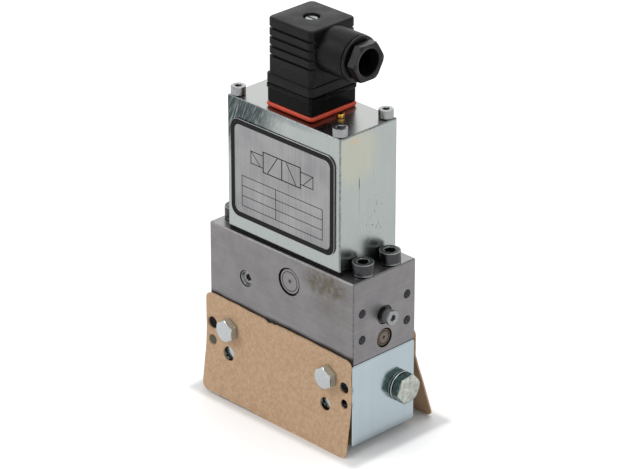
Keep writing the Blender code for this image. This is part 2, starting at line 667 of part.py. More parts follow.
def build_earth_screw(housing):
    """Small brass screw beside the connector on the housing's top."""
    x = CONNECTOR_SIDE / 2 + EARTH_SCREW_GAP + EARTH_SCREW_RADIUS
    seat = HOUSING_TOP + PLAY
    tip = HOUSING_TOP - EARTH_SCREW_GRIP
    head = rod_mesh(EARTH_SCREW_RADIUS, (x, 0, seat), (x, 0, seat + EARTH_SCREW_HEIGHT), SMALL_SIDES)
    screw = add_mesh("earth_screw", head, BRASS)
    shank = EARTH_SCREW_RADIUS * 0.6
    join(screw, rod_mesh(shank, (x, 0, seat + EARTH_SCREW_HEIGHT / 2), (x, 0, tip), TINY_SIDES), "shank")
    top = (x, 0, HOUSING_TOP + OVERCUT)
    cut(housing, rod_mesh(shank + PLAY, (x, 0, tip - TAP_RUNOUT), top, TINY_SIDES), "earth")


def build_nameplate():
    """Blank plate on the housing's front."""
    half = HOUSING_WIDTH / 2 - PLATE_MARGIN_SIDE
    back = -HOUSING_DEPTH / 2 - PLAY
    low = (-half, back - PLATE_THICKNESS, HOUSING_BOTTOM + PLATE_MARGIN_BOTTOM)
    high = (half, back, HOUSING_TOP - PLATE_MARGIN_TOP)
    add_mesh("nameplate", prism_mesh(low, high, PLATE_CORNER, axis=1), PLATE)


def build_solenoid(side, label):
    """Coil, tube, pole piece, armature and push pin on one side."""
    x = side * COIL_X
    flange_top = HOUSING_BOTTOM + POLE_FLANGE_THICKNESS
    tube_top = COIL_ROOF - PLAY
    profile = ring_profile(TUBE_RADIUS + PLAY, COIL_BORE - PLAY, flange_top + PLAY, tube_top)
    turned(f"coil_{label}", profile, COIL_RESIN, upright(x, 0), LARGE_SIDES)
    inner = TUBE_RADIUS - TUBE_WALL
    tube = rod_mesh(TUBE_RADIUS, (x, 0, flange_top + PLAY), (x, 0, tube_top))
    tube = add_mesh(f"armature_tube_{label}", tube, BRIGHT_STEEL)
    cut(tube, rod_mesh(inner, (x, 0, flange_top), (x, 0, tube_top - TUBE_WALL)), "bore")
    pole = rod_mesh(COIL_BORE - PLAY, (x, 0, HOUSING_BOTTOM), (x, 0, flange_top), LARGE_SIDES)
    pole = add_mesh(f"pole_piece_{label}", pole, DARK_STEEL)
    join(pole, rod_mesh(CORE_RADIUS, (x, 0, flange_top - OVERCUT), (x, 0, POLE_TOP)), "core")
    below = (x, 0, HOUSING_BOTTOM - OVERCUT)
    pin_hole = rod_mesh(PUSH_PIN_RADIUS + PLAY, below, (x, 0, POLE_TOP + OVERCUT), TINY_SIDES)
    cut(pole, pin_hole, "pin_hole")
    ends = ((x, 0, ARMATURE_BOTTOM), (x, 0, ARMATURE_TOP))
    armature = add_mesh(f"armature_{label}", rod_mesh(CORE_RADIUS, *ends), DARK_STEEL)
    seat = ARMATURE_BOTTOM + PUSH_PIN_SEAT_DEPTH
    socket = rod_mesh(PUSH_PIN_RADIUS + PLAY, (x, 0, ARMATURE_BOTTOM - OVERCUT), (x, 0, seat), TINY_SIDES)
    cut(armature, socket, "pin_socket")
    tip = LEVER_Z + LEVER_PAD_RADIUS + PLAY
    pin = rod_mesh(PUSH_PIN_RADIUS, (x, 0, tip), (x, 0, seat - PLAY), TINY_SIDES)
    add_mesh(f"push_pin_{label}", pin, BRIGHT_STEEL)


def build_lever(side, label):
    """Bell crank that turns the push pin's stroke into the poppet's."""
    x = side * LEVER_X
    half = LEVER_THICKNESS / 2
    lever = rod_mesh(LEVER_HUB_RADIUS, (0, -half, 0), (0, half, 0))
    lever = add_mesh(f"lever_{label}", lever, BRIGHT_STEEL)
    lever.location = (x, 0, LEVER_Z)
    arm_half = half * 0.9
    reach = sorted((-side * LEVER_HUB_RADIUS / 2, side * LEVER_ARM))
    arm_low = (reach[0], -arm_half, -LEVER_ARM_HEIGHT / 2)
    join(lever, box_mesh(arm_low, (reach[1], arm_half, LEVER_ARM_HEIGHT / 2)), "arm")
    pad_half = half * 0.8
    pad_x = side * LEVER_ARM
    join(lever, rod_mesh(LEVER_PAD_RADIUS, (pad_x, -pad_half, 0), (pad_x, pad_half, 0), SMALL_SIDES), "pad")
    leg_half = half * 0.7
    leg_low = (-LEVER_LEG_WIDTH / 2, -leg_half, -LEVER_DROP)
    join(lever, box_mesh(leg_low, (LEVER_LEG_WIDTH / 2, leg_half, LEVER_HUB_RADIUS / 2)), "leg")
    tip_half = half * 0.6
    tip = rod_mesh(LEVER_TIP_RADIUS, (0, -tip_half, -LEVER_DROP), (0, tip_half, -LEVER_DROP), SMALL_SIDES)
    join(lever, tip, "tip")
    cut(lever, rod_mesh(LEVER_PIN_RADIUS + PLAY, (0, -2 * half, 0), (0, 2 * half, 0), TINY_SIDES), "pin_hole")
    ends = ((x, PLAY - LEVER_PIN_BLIND_END, LEVER_Z), (x, -FRONT_Y - END_RECESS, LEVER_Z))
    add_mesh(f"lever_pin_{label}", rod_mesh(LEVER_PIN_RADIUS, *ends, TINY_SIDES), BRIGHT_STEEL)


def build_poppet_line(side, label):
    """Bush, tappet, override screw, return spring, seat and poppet at one end."""
    def at(distance):
        return (side * distance, 0, LINE_Z)

    line = along_x(side, LINE_Z)
    bush = ring_profile(BUSH_BORE, BUSH_RADIUS, BUSH_INNER, BUSH_OUTER)
    turned(f"guide_bush_{label}", bush, DARK_STEEL, line)
    neck_tip = SEAT_INNER - POPPET_CONE_LENGTH - POPPET_THREAD_DEPTH
    tappet = rod_mesh(TAPPET_RADIUS, at(COLLAR_INNER + COLLAR_LENGTH / 2), at(BUSH_OUTER))
    tappet = add_mesh(f"tappet_{label}", tappet, BRIGHT_STEEL)
    join(tappet, rod_mesh(COLLAR_RADIUS, at(COLLAR_INNER), at(COLLAR_OUTER)), "collar")
    join(tappet, rod_mesh(NECK_RADIUS, at(COLLAR_INNER + COLLAR_LENGTH / 2), at(neck_tip), SMALL_SIDES), "neck")
    screw_tip = BUSH_OUTER - OVERRIDE_GRIP
    tapped = rod_mesh(M4_RADIUS + PLAY, at(screw_tip - PLAY), at(BUSH_OUTER + OVERCUT), SMALL_SIDES)
    cut(tappet, tapped, "tapped")
    seat = at(END_X + SCREW_STANDOFF)
    cap_screw(f"override_screw_{label}", seat, (side, 0, 0), M4_SIZES, at(screw_tip), BRIGHT_STEEL)
    ring = ring_profile(SEAT_BORE, END_BORE - PLAY, SEAT_INNER, SEAT_OUTER)
    turned(f"seat_sleeve_{label}", ring, BRASS, line)
    build_return_spring(label, line)
    build_poppet(side, label, neck_tip)


def build_poppet(side, label, neck_tip):
    """Cone that closes on the seat, with a slot for the lever's tip."""
    def at(distance):
        return (side * distance, 0, LINE_Z)

    cone_base = SEAT_INNER - PLAY
    back = cone_base - POPPET_CONE_LENGTH
    tail = LEVER_X - LEVER_TIP_RADIUS - PLAY - POPPET_TAIL
    poppet = rod_mesh(POPPET_RADIUS, at(tail), at(back))
    poppet = add_mesh(f"poppet_{label}", poppet, BRIGHT_STEEL)
    waist = NECK_RADIUS + 2 * PLAY
    cone = rod_mesh(POPPET_RADIUS * 0.98, at(back - OVERCUT), at(cone_base), ROUND_SIDES, waist)
    join(poppet, cone, "cone")
    cut(poppet, rod_mesh(NECK_RADIUS + PLAY, at(neck_tip - PLAY), at(cone_base + OVERCUT), SMALL_SIDES), "thread")
    slot_half = LEVER_TIP_RADIUS + PLAY
    low_x, high_x = sorted((side * (LEVER_X - slot_half), side * (LEVER_X + slot_half)))
    floor = LINE_Z - LEVER_TIP_RADIUS - PLAY
    slot = box_mesh((low_x, -2 * POPPET_RADIUS, floor), (high_x, 2 * POPPET_RADIUS, LINE_Z + 2 * POPPET_RADIUS))
    cut(poppet, slot, "lever_slot")


def build_return_spring(label, line):
    """Helical spring between the seat sleeve and the tappet's collar."""
    count = SPRING_TURNS * SPRING_STEPS
    coil_radius = (SEAT_BORE + END_BORE - PLAY) / 2
    start = SEAT_OUTER + PLAY + SPRING_WIRE_RADIUS
    rise = SPRING_LENGTH - 2 * SPRING_WIRE_RADIUS
    curve = bpy.data.curves.new(f"return_spring_{label}", "CURVE")
    curve.dimensions = "3D"
    curve.bevel_depth = SPRING_WIRE_RADIUS
    curve.bevel_resolution = 1
    curve.use_fill_caps = True
    spline = curve.splines.new("POLY")
    spline.points.add(count)
    for index in range(count + 1):
        angle = 2 * math.pi * index / SPRING_STEPS
        height = start + rise * index / count
        spline.points[index].co = (coil_radius * math.cos(angle), coil_radius * math.sin(angle), height, 1.0)
    curve.materials.append(BRIGHT_STEEL)
    item = bpy.data.objects.new(f"return_spring_{label}", curve)
    PARTS.objects.link(item)
    item.matrix_world = line
    gap = rise / SPRING_TURNS - 2 * SPRING_WIRE_RADIUS
    print(f"return_spring_{label}: least gap between turns {gap * 1000:.2f} mm")


def build_connector():
    """Square plug connector on the housing's top."""
    half = CONNECTOR_SIDE / 2
    gasket_top = GASKET_BOTTOM + GASKET_THICKNESS
    gasket = prism_mesh((-half, -half, GASKET_BOTTOM), (half, half, gasket_top), CONNECTOR_CORNER)
    gasket = add_mesh("connector_gasket", gasket, ORANGE_RUBBER)
    window_x = WIRE_SLOT_LENGTH / 2
    window_y = WIRE_SLOT_WIDTH / 2
    window = box_mesh((-window_x, -window_y, GASKET_BOTTOM - OVERCUT), (window_x, window_y, gasket_top + OVERCUT))
    cut(gasket, window, "window")
    insert_top = INSERT_BOTTOM + INSERT_HEIGHT
    insert = prism_mesh((-half, -half, INSERT_BOTTOM), (half, half, insert_top), CONNECTOR_CORNER)
    insert = add_mesh("connector_insert", insert, GLOSS_PLASTIC)
    centre_hole = CONNECTOR_SCREW_RADIUS + PLAY
    bottom = (0, 0, INSERT_BOTTOM - OVERCUT)
    cut(insert, rod_mesh(centre_hole, bottom, (0, 0, insert_top + OVERCUT), TINY_SIDES), "screw")
    build_contact_base(insert)
    tip = INSERT_BOTTOM - PLAY - CONNECTOR_SCREW_GRIP
    seat = SCREW_SEAT_Z + PLAY
    head = rod_mesh(CONNECTOR_SCREW_HEAD, (0, 0, seat), (0, 0, seat + CONNECTOR_SCREW_HEAD_HEIGHT), SMALL_SIDES)
    screw = add_mesh("connector_screw", head, BRIGHT_STEEL)
    shank_top = (0, 0, seat + CONNECTOR_SCREW_HEAD_HEIGHT / 2)
    join(screw, rod_mesh(CONNECTOR_SCREW_RADIUS, shank_top, (0, 0, tip), TINY_SIDES), "shank")
    slot_top = seat + CONNECTOR_SCREW_HEAD_HEIGHT + OVERCUT
    slot_half = BLADE_THICKNESS / 3
    slot = box_mesh((-half, -slot_half, seat + CONNECTOR_SCREW_HEAD_HEIGHT / 2), (half, slot_half, slot_top))
    cut(screw, slot, "driver_slot")
    build_hood()


def build_contact_base(insert):
    """Moulded base in the housing's wire slot, with the contact blades that enter the insert."""
    length = WIRE_SLOT_LENGTH / 2 - PLAY
    width = WIRE_SLOT_WIDTH / 2 - PLAY
    top = INSERT_BOTTOM - PLAY
    base = box_mesh((-length, -width, COIL_ROOF + PLAY), (length, width, top))
    base = add_mesh("contact_base", base, BLACK_PLASTIC)
    for side in (-1, 1):
        for mesh_owner, grow, label in ((base, 0.0, "blade"), (insert, PLAY, "slot")):
            x = side * BLADE_OFFSET
            thick = BLADE_THICKNESS / 2 + grow
            wide = BLADE_WIDTH / 2 + grow
            low = (x - thick, -wide, top - OVERCUT)
            high = (x + thick, wide, top + PLAY + BLADE_REACH + grow)
            combine(mesh_owner, box_mesh(low, high), "UNION" if grow == 0 else "DIFFERENCE", f"{label}_{side}")
    tapped = CONNECTOR_SCREW_RADIUS + PLAY
    floor = top - CONNECTOR_SCREW_GRIP - PLAY
    cut(base, rod_mesh(tapped, (0, 0, floor), (0, 0, top + OVERCUT), TINY_SIDES), "tapped")


def build_hood():
    """Connector hood with its skirt, cable boss, screw well and gland."""
    half = CONNECTOR_SIDE / 2
    side = HOOD_SIDE / 2
    solid = prism_mesh((-side, -side, HOOD_BOTTOM), (side, side, HOOD_TOP), HOOD_CORNER)
    hood = add_mesh("connector_hood", solid, BLACK_PLASTIC)
    skirt_low = (-half, -half, HOOD_BOTTOM)
    skirt = prism_mesh(skirt_low, (half, half, HOOD_BOTTOM + SKIRT_HEIGHT), CONNECTOR_CORNER)
    join(hood, skirt, "skirt")
    boss_end = (CABLE_BOSS_REACH, 0, CABLE_Z)
    join(hood, rod_mesh(CABLE_BOSS_RADIUS, (0, 0, CABLE_Z), boss_end, LARGE_SIDES), "boss")
    inner = side - HOOD_WALL
    ceiling = HOOD_TOP - HOOD_ROOF
    cavity = box_mesh((-inner, -inner, HOOD_BOTTOM - OVERCUT), (inner, inner, ceiling))
    cut(hood, cavity, "cavity")
    thread_floor = CABLE_BOSS_REACH - GLAND_THREAD_LENGTH - GLAND_SEAL_LENGTH - GLAND_WASHER_THICKNESS - 4 * PLAY
    out = (CABLE_BOSS_REACH + OVERCUT, 0, CABLE_Z)
    cut(hood, rod_mesh(GLAND_BORE_RADIUS, (thread_floor, 0, CABLE_Z), out), "gland_bore")
    cut(hood, rod_mesh(GLAND_STEP_RADIUS, (0, 0, CABLE_Z), out, SMALL_SIDES), "cable_bore")
    well_top = (0, 0, HOOD_TOP + OVERCUT)
    cut(hood, rod_mesh(SCREW_WELL_RADIUS, (0, 0, SCREW_SEAT_Z), well_top), "screw_well")
    cut(hood, rod_mesh(CONNECTOR_SCREW_RADIUS + PLAY, (0, 0, HOOD_BOTTOM), well_top, TINY_SIDES), "screw_hole")
    for index in range(GROOVE_COUNT):
        z = HOOD_TOP - GROOVE_START - index * GROOVE_PITCH
        low_z = z - GROOVE_WIDTH / 2
        high_z = z + GROOVE_WIDTH / 2
        past = side + OVERCUT
        floor = side - GROOVE_DEPTH
        for face in (-1, 1):
            low_y, high_y = sorted((face * floor, face * past))
            cut(hood, box_mesh((-past, low_y, low_z), (past, high_y, high_z)), f"groove_{index}_{face}")
        cut(hood, box_mesh((-past, -past, low_z), (-floor, past, high_z)), f"groove_{index}_end")
    build_gland(thread_floor)


def build_gland(floor):
    """Washer, grommet and hexagon nut in the cable boss."""
    place = Matrix.Translation((0, 0, CABLE_Z)) @ Matrix.Rotation(math.pi / 2, 4, "Y")
    outer = GLAND_BORE_RADIUS - PLAY
    washer_in = floor + PLAY
    washer_out = washer_in + GLAND_WASHER_THICKNESS
    washer = ring_profile(GLAND_STEP_RADIUS, outer, washer_in, washer_out)
    turned("gland_washer", washer, BRIGHT_STEEL, place)
    seal_in = washer_out + PLAY
    seal_out = seal_in + GLAND_SEAL_LENGTH
    turned("gland_seal", ring_profile(CABLE_RADIUS, outer, seal_in, seal_out), BLACK_RUBBER, place)
    nut_in = CABLE_BOSS_REACH + GLAND_NUT_RIM
    nut_out = nut_in + GLAND_NUT_LENGTH
    ends = ((nut_in, 0, CABLE_Z), (nut_out, 0, CABLE_Z))
    head = rod_mesh(hex_radius(GLAND_NUT_FLATS), *ends, 6, turn=FLAT_UP)
    nut = add_mesh("gland_nut", head, BLACK_PLASTIC)
    thread = rod_mesh(outer, (nut_in + OVERCUT, 0, CABLE_Z), (seal_out + PLAY, 0, CABLE_Z))
    join(nut, thread, "thread")
    bore = rod_mesh(GLAND_NUT_BORE, (floor, 0, CABLE_Z), (nut_out + OVERCUT, 0, CABLE_Z))
    cut(nut, bore, "bore")


def card_surface(face, flare):
    """Card as rows of points from the top edge down, bent outwards below the fold."""
    bm = bmesh.new()
    bmesh.ops.create_grid(bm, x_segments=1, y_segments=CARD_ROWS, size=0.5)
    height = CARD_TOP + CARD_DROP
    fold_run = CARD_FOLD_HEIGHT + CARD_DROP
    for vert in bm.verts:
        x = vert.co.x * CARD_WIDTH + CARD_SHIFT
        z = CARD_TOP - (0.5 - vert.co.y) * height
        bend = max(0.0, (CARD_FOLD_HEIGHT - z) / fold_run)
        vert.co = (x, face * (PLAY - FRONT_Y + flare * bend ** CARD_BEND_POWER), z)
    return bm


def build_card(label, face, flare):
    """Stiff card bolted over the ports on one face; the front one also has spare holes."""
    bm = card_surface(face, flare)
    lift = face * CARD_THICKNESS
    top = bmesh.ops.extrude_face_region(bm, geom=bm.faces[:])
    bmesh.ops.translate(
        bm,
        vec=(0, lift, 0),
        verts=[item for item in top["geom"] if isinstance(item, bmesh.types.BMVert)],
    )
    card = add_mesh(f"{label}_card", bm, KRAFT)
    reach = -FRONT_Y + abs(flare) + CARD_THICKNESS + OVERCUT * 2
    low_y, high_y = sorted((face * -FRONT_Y * 0.5, face * reach))
    half = CARD_WIDTH / 2
    trim = prism_mesh(
        (CARD_SHIFT - half, low_y, -CARD_DROP),
        (CARD_SHIFT + half, high_y, CARD_TOP),
        CARD_CORNER,
        axis=1,
    )
    combine(card, trim, "INTERSECT", "rounded_outline")
    for side in (-1, 1):
        holes = [(side * CARD_BOLT_X, CARD_BOLT_HEIGHT, M6_RADIUS + PLAY)]
        if face < 0:
            holes += [(side * hole_x + CARD_SHIFT, hole_z, radius) for hole_x, hole_z, radius in CARD_HOLES]
        for index, (x, z, radius) in enumerate(holes):
            hole = rod_mesh(radius, (x, low_y, z), (x, high_y, z), SMALL_SIDES)
            cut(card, hole, f"hole_{side}_{index}")


def build_card_bolts():
    """Through bolts and nuts that hold both cards."""
    under_head = CARD_FRONT_Y - CARD_THICKNESS - PLAY
    nut_start = -under_head
    tail = nut_start + CARD_NUT_HEIGHT + CARD_BOLT_TAIL
    z = CARD_BOLT_HEIGHT
    for side, label in ((-1, "left"), (1, "right")):
        x = side * CARD_BOLT_X
        head = rod_mesh(hex_radius(CARD_BOLT_FLATS), (x, under_head, z), (x, under_head - CARD_BOLT_HEAD, z), 6)
        bolt = add_mesh(f"card_bolt_{label}", head, BRIGHT_STEEL)
        middle = under_head - CARD_BOLT_HEAD / 2
        join(bolt, rod_mesh(M6_RADIUS, (x, middle, z), (x, tail, z), SMALL_SIDES), "shank")
        nut = rod_mesh(hex_radius(CARD_BOLT_FLATS), (x, nut_start, z), (x, nut_start + CARD_NUT_HEIGHT, z), 6)
        nut = add_mesh(f"card_nut_{label}", nut, BRIGHT_STEEL)
        bore = rod_mesh(M6_RADIUS + PLAY, (x, nut_start - OVERCUT, z), (x, tail + OVERCUT, z), SMALL_SIDES)
        cut(nut, bore, "bore")


def main():
    """Build every piece of the valve."""
    build_port_block()
    build_valve_body()
    build_body_plugs()
    build_port_plug()
    build_body_screws()
    build_solenoid_seal()
    build_solenoid_housing()
    build_nameplate()
    for side, label in ((-1, "left"), (1, "right")):
        build_solenoid(side, label)
        build_lever(side, label)
        build_poppet_line(side, label)
    build_connector()
    build_card("front", -1, FRONT_CARD_FLARE)
    build_card("rear", 1, REAR_CARD_FLARE)
    build_card_bolts()
    for item in PARTS.objects:
        if item.type == "MESH":
            shade_round(item)


main()
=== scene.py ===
"""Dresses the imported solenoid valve: finished pieces, materials, studio and camera.

Lengths are in metres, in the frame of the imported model: +X to the end with the cable gland, +Y to the rear
and +Z up.
"""

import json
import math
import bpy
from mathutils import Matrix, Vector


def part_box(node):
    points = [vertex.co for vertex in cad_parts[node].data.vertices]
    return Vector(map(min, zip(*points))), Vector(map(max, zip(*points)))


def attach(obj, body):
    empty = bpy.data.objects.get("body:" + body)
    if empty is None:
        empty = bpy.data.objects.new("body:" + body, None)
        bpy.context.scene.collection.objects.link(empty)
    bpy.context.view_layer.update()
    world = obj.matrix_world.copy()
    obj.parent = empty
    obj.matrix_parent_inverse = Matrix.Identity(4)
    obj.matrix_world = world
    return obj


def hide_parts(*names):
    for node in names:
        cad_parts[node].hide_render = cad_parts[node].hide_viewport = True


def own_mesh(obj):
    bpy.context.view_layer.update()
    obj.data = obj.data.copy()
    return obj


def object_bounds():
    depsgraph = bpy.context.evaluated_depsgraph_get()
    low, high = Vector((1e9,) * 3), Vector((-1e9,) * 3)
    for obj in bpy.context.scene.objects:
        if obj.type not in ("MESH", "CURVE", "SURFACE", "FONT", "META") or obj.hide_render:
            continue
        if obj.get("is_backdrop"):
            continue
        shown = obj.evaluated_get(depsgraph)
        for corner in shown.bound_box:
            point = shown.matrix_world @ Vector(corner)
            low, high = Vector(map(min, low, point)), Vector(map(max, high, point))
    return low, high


bl_info = {
    "name": "Solenoid Directional Valve",
    "version": (1, 0, 0),
    "blender": (4, 5, 0),
    "location": "View3D > Sidebar > Valve",
    "description": "Finished pieces, materials and studio for the packed solenoid valve",
    "category": "Object",
}

import bmesh
import bpy
import numpy as np
from bpy.props import FloatProperty, FloatVectorProperty, PointerProperty
from bpy.types import Operator, Panel, PropertyGroup
from mathutils import Vector

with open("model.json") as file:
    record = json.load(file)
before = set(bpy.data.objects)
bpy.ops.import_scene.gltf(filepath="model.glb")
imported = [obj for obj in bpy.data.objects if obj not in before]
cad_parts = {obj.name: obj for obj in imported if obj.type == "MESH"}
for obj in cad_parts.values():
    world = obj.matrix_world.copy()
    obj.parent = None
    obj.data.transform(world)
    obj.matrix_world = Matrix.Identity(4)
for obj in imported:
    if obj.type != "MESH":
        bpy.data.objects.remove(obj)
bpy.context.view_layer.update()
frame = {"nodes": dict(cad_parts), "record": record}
NODES = frame["nodes"]
SLOT_OF = {part["node"]: part["material_slot"] for part in frame["record"]["subparts"]}

MM = 0.001
NEARLY_ZERO = 1e-6
SPOKES = 72
QUARTER = SPOKES // 4
ANGLES = np.arange(SPOKES) * (2 * math.pi / SPOKES)
ROUND = np.column_stack((np.cos(ANGLES), np.sin(ANGLES)))
CHAMFER_SLOPE = math.tan(math.radians(60))
SHARP_ANGLE = math.radians(32)
UP = (0, 0, 1)
RIGHT = (1, 0, 0)
LEFT = (-1, 0, 0)
FRONT = (0, -1, 0)
REAR = (0, 1, 0)
SIDES = ("left", "right")

# Radial play round threads.
PLAY = 0.3 * MM
# A socket's floor as a share of the head's height, and its round mouth as a share of its half-width.
SOCKET_FLOOR = 0.42
SOCKET_MOUTH = 1.24
# As shares of a hexagon's half-width: its chamfered crown, the chamfer's height, the round base under a head.
CROWN = 0.95
CHAMFER_DROP = 0.14
HEAD_BASE = 0.94
# How far a metal's roughness goes up in its dull grain and down in its bright grain.
MATT_SWING = 0.05
GLOSS_SWING = 0.03


def tone(red, green, blue):
    """Linear colour of an sRGB byte triple, by the sRGB transfer curve."""
    share = np.array((red, green, blue)) / 255
    linear = np.where(share <= 0.04045, share / 12.92, ((share + 0.055) / 1.055) ** 2.4)
    return tuple(float(part) for part in linear)


def length(name, description, default):
    """A length property in metres."""
    return FloatProperty(name=name, description=description, default=default, unit="LENGTH", precision=5)


def colour(name, description, default):
    """A colour property, from sRGB bytes."""
    shade = tone(*default)
    return FloatVectorProperty(name=name, description=description, default=shade, subtype="COLOR", size=3)


def plain(name, description, default):
    """A property without a unit."""
    return FloatProperty(name=name, description=description, default=default)


def angle(name, description, default):
    """An angle property in radians."""
    return FloatProperty(name=name, description=description, default=default, subtype="ANGLE")


def power(name, description, default):
    """A lamp's power in watts."""
    return FloatProperty(name=name, description=description, default=default, unit="POWER")


class ValveShape(PropertyGroup):
    """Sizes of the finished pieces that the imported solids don't give."""

    edge: length("Edge break", "Chamfer on screw heads and washers", 0.35 * MM)
    small_head: length("M4 head height", "Height of the M4 cap screws' heads", 4 * MM)
    small_socket: length("M4 socket", "Hexagon socket of the M4 cap screws, across flats", 3 * MM)
    small_shank: length("M4 shank radius", "Radius of the M4 shanks", 2 * MM)
    large_head: length("M6 head height", "Height of the M6 cap screws' heads", 6 * MM)
    large_socket: length("M6 socket", "Hexagon socket of the M6 cap screws, across flats", 5 * MM)
    large_shank: length("M6 shank radius", "Radius of the M6 shanks", 3 * MM)
    plug_head: length("Hexagon plug head", "Height of the hexagon plug's head", 4.7 * MM)
    plug_flats: length("Hexagon plug flats", "Width of the plug's head across flats", 13 * MM)
    plug_turn: angle("Plug turn", "Turn of the plug's corners from the horizontal", 0.14)
    end_hole: length("End hole radius", "Radius of the tapped holes in the valve body's ends", 2.2 * MM)
    end_hole_y: length("End hole spacing", "Spacing of the end holes from front to rear", 28.8 * MM)
    end_hole_depth: length("Upper end hole", "Depth of the upper end holes below the body's top", 16.2 * MM)
    end_hole_z: length("End hole rows", "Height between the two rows of end holes", 13.2 * MM)
    plug_shank: length("Hexagon plug shank radius", "Radius of the hexagon plug's thread", 4 * MM)
    bolt_head: length("Card bolt head", "Height of the card bolts' heads", 4 * MM)
    spring_wire: length("Spring wire", "Radius of the return springs' wire", 0.4 * MM)
    stroke: length("Override stroke", "How far the overrides go in", 1.2 * MM)
    hood_corner: length("Hood corner", "Radius of the connector hood's upright edges", 2.5 * MM)
    skirt_corner: length("Skirt corner", "Radius of the skirt, insert and gasket corners", 2 * MM)
    skirt_height: length("Skirt height", "Height of the hood's wider skirt", 4.6 * MM)
    hood_inset: length("Hood inset", "How far the hood's body stands back from its skirt", 0.8 * MM)
    hood_round: length("Hood top rounding", "Radius of the hood's top edge", 0.9 * MM)
    groove_start: length("First groove", "Depth of the first grip groove below the hood's top", 4.9 * MM)
    groove_pitch: length("Groove pitch", "Spacing of the grip grooves", 4.35 * MM)
    groove_width: length("Groove width", "Width of a grip groove", 1.4 * MM)
    groove_depth: length("Groove depth", "Depth of a grip groove", 0.9 * MM)
    well_radius: length("Screw well radius", "Radius of the well over the connector screw", 3.8 * MM)
    well_depth: length("Screw well depth", "Depth of the well over the connector screw", 3.4 * MM)
    cable_drop: length("Cable axis depth", "Depth of the cable's axis below the hood's top", 11.6 * MM)
    boss_radius: length("Cable boss radius", "Radius of the boss that takes the gland", 11 * MM)
    gland_head: length("Gland nut head", "Length of the gland nut's hexagon", 4.7 * MM)
    gland_bore: length("Gland bore radius", "Radius of the hole through the gland nut", 6.2 * MM)
    gland_thread: length("Gland thread radius", "Radius of the gland nut's thread", 7.2 * MM)
    plate_border: length("Nameplate border", "Width of the nameplate's black border", 2.6 * MM)
    plate_corner: length("Nameplate corner", "Corner radius of the nameplate", 5 * MM)
    card_thickness: length("Card thickness", "Thickness of the kraft cards", 0.9 * MM)
    card_fold: length("Card fold", "Height at which the cards start to bend outwards", 25.5 * MM)
    card_tilt: length("Front card tilt", "How much lower the front card's right end hangs", 2.2 * MM)


class ValveFinish(PropertyGroup):
    """Colours of the finishes."""

    zinc: colour("Housing plate", "Bright plate on the solenoid housing", (168, 174, 172))
    zinc_shade: colour("Housing plate, dulled", "Duller streaks in the housing's plate", (150, 157, 155))
    ground: colour("Ground steel", "Ground steel of the valve body", (139, 137, 138))
    ground_shade: colour("Ground steel, dulled", "Duller streaks in the ground steel", (112, 110, 111))
    stain: colour("Oil stain", "Dried oil on the valve body's front", (96, 88, 74))
    blue_zinc: colour("Blue zinc", "Blue-passivated zinc of the port block", (175, 187, 192))
    blue_shade: colour("Blue zinc, dulled", "Duller bands in the blue zinc", (160, 173, 180))
    green_zinc: colour("Plug zinc", "Greenish zinc of the hexagon plug's face", (172, 176, 168))
    # Painted dark reflection: the plug's sides are darker than its face for the dark surroundings they mirror.
    green_dark: colour("Plug zinc, sides", "Dark green sides of the hexagon plug", (84, 102, 96))
    bright: colour("Bright steel", "Bright plated screws and washers", (183, 186, 187))
    dark: colour("Dark steel", "Oiled dark screws", (66, 66, 69))
    screw: colour("Screw steel", "Dull plated cap screws on the housing", (146, 148, 149))
    # Also painted highlight: the dark screws' rims and a band at their base are paler to stand for highlights.
    worn: colour("Worn steel", "Rubbed rims of the dark screws", (132, 135, 134))
    # Painted shade: the grub screws deep in the end holes are black for the shade inside the holes.
    hole: colour("Hole steel", "Oily black steel inside the end holes", (40, 40, 40))
    bolt_side: colour("Bolt sides", "Dull pale zinc of the card bolts' sides", (190, 196, 188))
    gallery: colour("Gallery plug", "Brown-grey face of the gallery plug", (108, 101, 96))
    core: colour("Core plug", "Grey pressed plug on the valve body's front", (132, 129, 130))
    rust: colour("Rust", "Rust round the gallery plug", (92, 76, 62))
    hood: colour("Hood plastic", "Matt black of the connector hood", (13, 13, 14))
    insert: colour("Insert plastic", "Glossier black of the connector insert", (8, 8, 9))
    rubber: colour("Black rubber", "Seal and grommet", (22, 22, 23))
    gasket: colour("Gasket rubber", "Orange-red gasket under the connector", (205, 70, 42))
    brass: colour("Brass", "Turned brass", (208, 160, 76))
    kraft: colour("Kraft card", "Brown card over the ports", (206, 174, 143))
    kraft_shade: colour("Kraft card, fibres", "Darker fibres in the card", (158, 125, 95))
    plate: colour("Nameplate metal", "Brushed aluminium of the nameplate", (143, 143, 145))
    ink: colour("Nameplate ink", "Black border and marks on the nameplate", (16, 16, 17))
    resin: colour("Coil resin", "Moulded coils", (92, 46, 38))


class ValveStage(PropertyGroup):
    """Camera, lamps and floor."""

    azimuth: angle("Azimuth", "Camera's turn round the valve", math.radians(45.528))
    elevation: angle("Elevation", "Camera's height angle", math.radians(25.667))
    distance: length("Distance", "From the camera to the point it looks at", 1.60219)
    aim_height: length("Aim height", "Height of the point the camera looks at", 84.663 * MM)
    aim_side: length("Aim shift", "How far right of the valve's axis the camera looks", 0.379 * MM)
    lens: FloatProperty(name="Lens", description="Focal length on a 36 mm sensor", default=202.16,
                        unit="CAMERA")
    key: power("Key lamp", "Soft lamp at the upper left", 7.0)
    fill: power("Fill lamp", "Soft lamp at the right", 3.2)
    top: power("Top lamp", "Soft lamp above", 6.5)
    rim: power("Rim lamp", "Soft lamp behind at the left", 5.0)
    ambient: plain("Ambient", "Strength of the room's light on the valve", 0.64)
    floor: colour("Floor", "Plain pale floor", (226, 226, 226))
    floor_glow: plain("Floor glow", "White that the camera and reflections add to the floor", 0.32)


def span(node):
    """Lowest corner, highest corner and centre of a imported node."""
    low, high = (np.array(corner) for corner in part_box(node))
    return low, high, (low + high) / 2


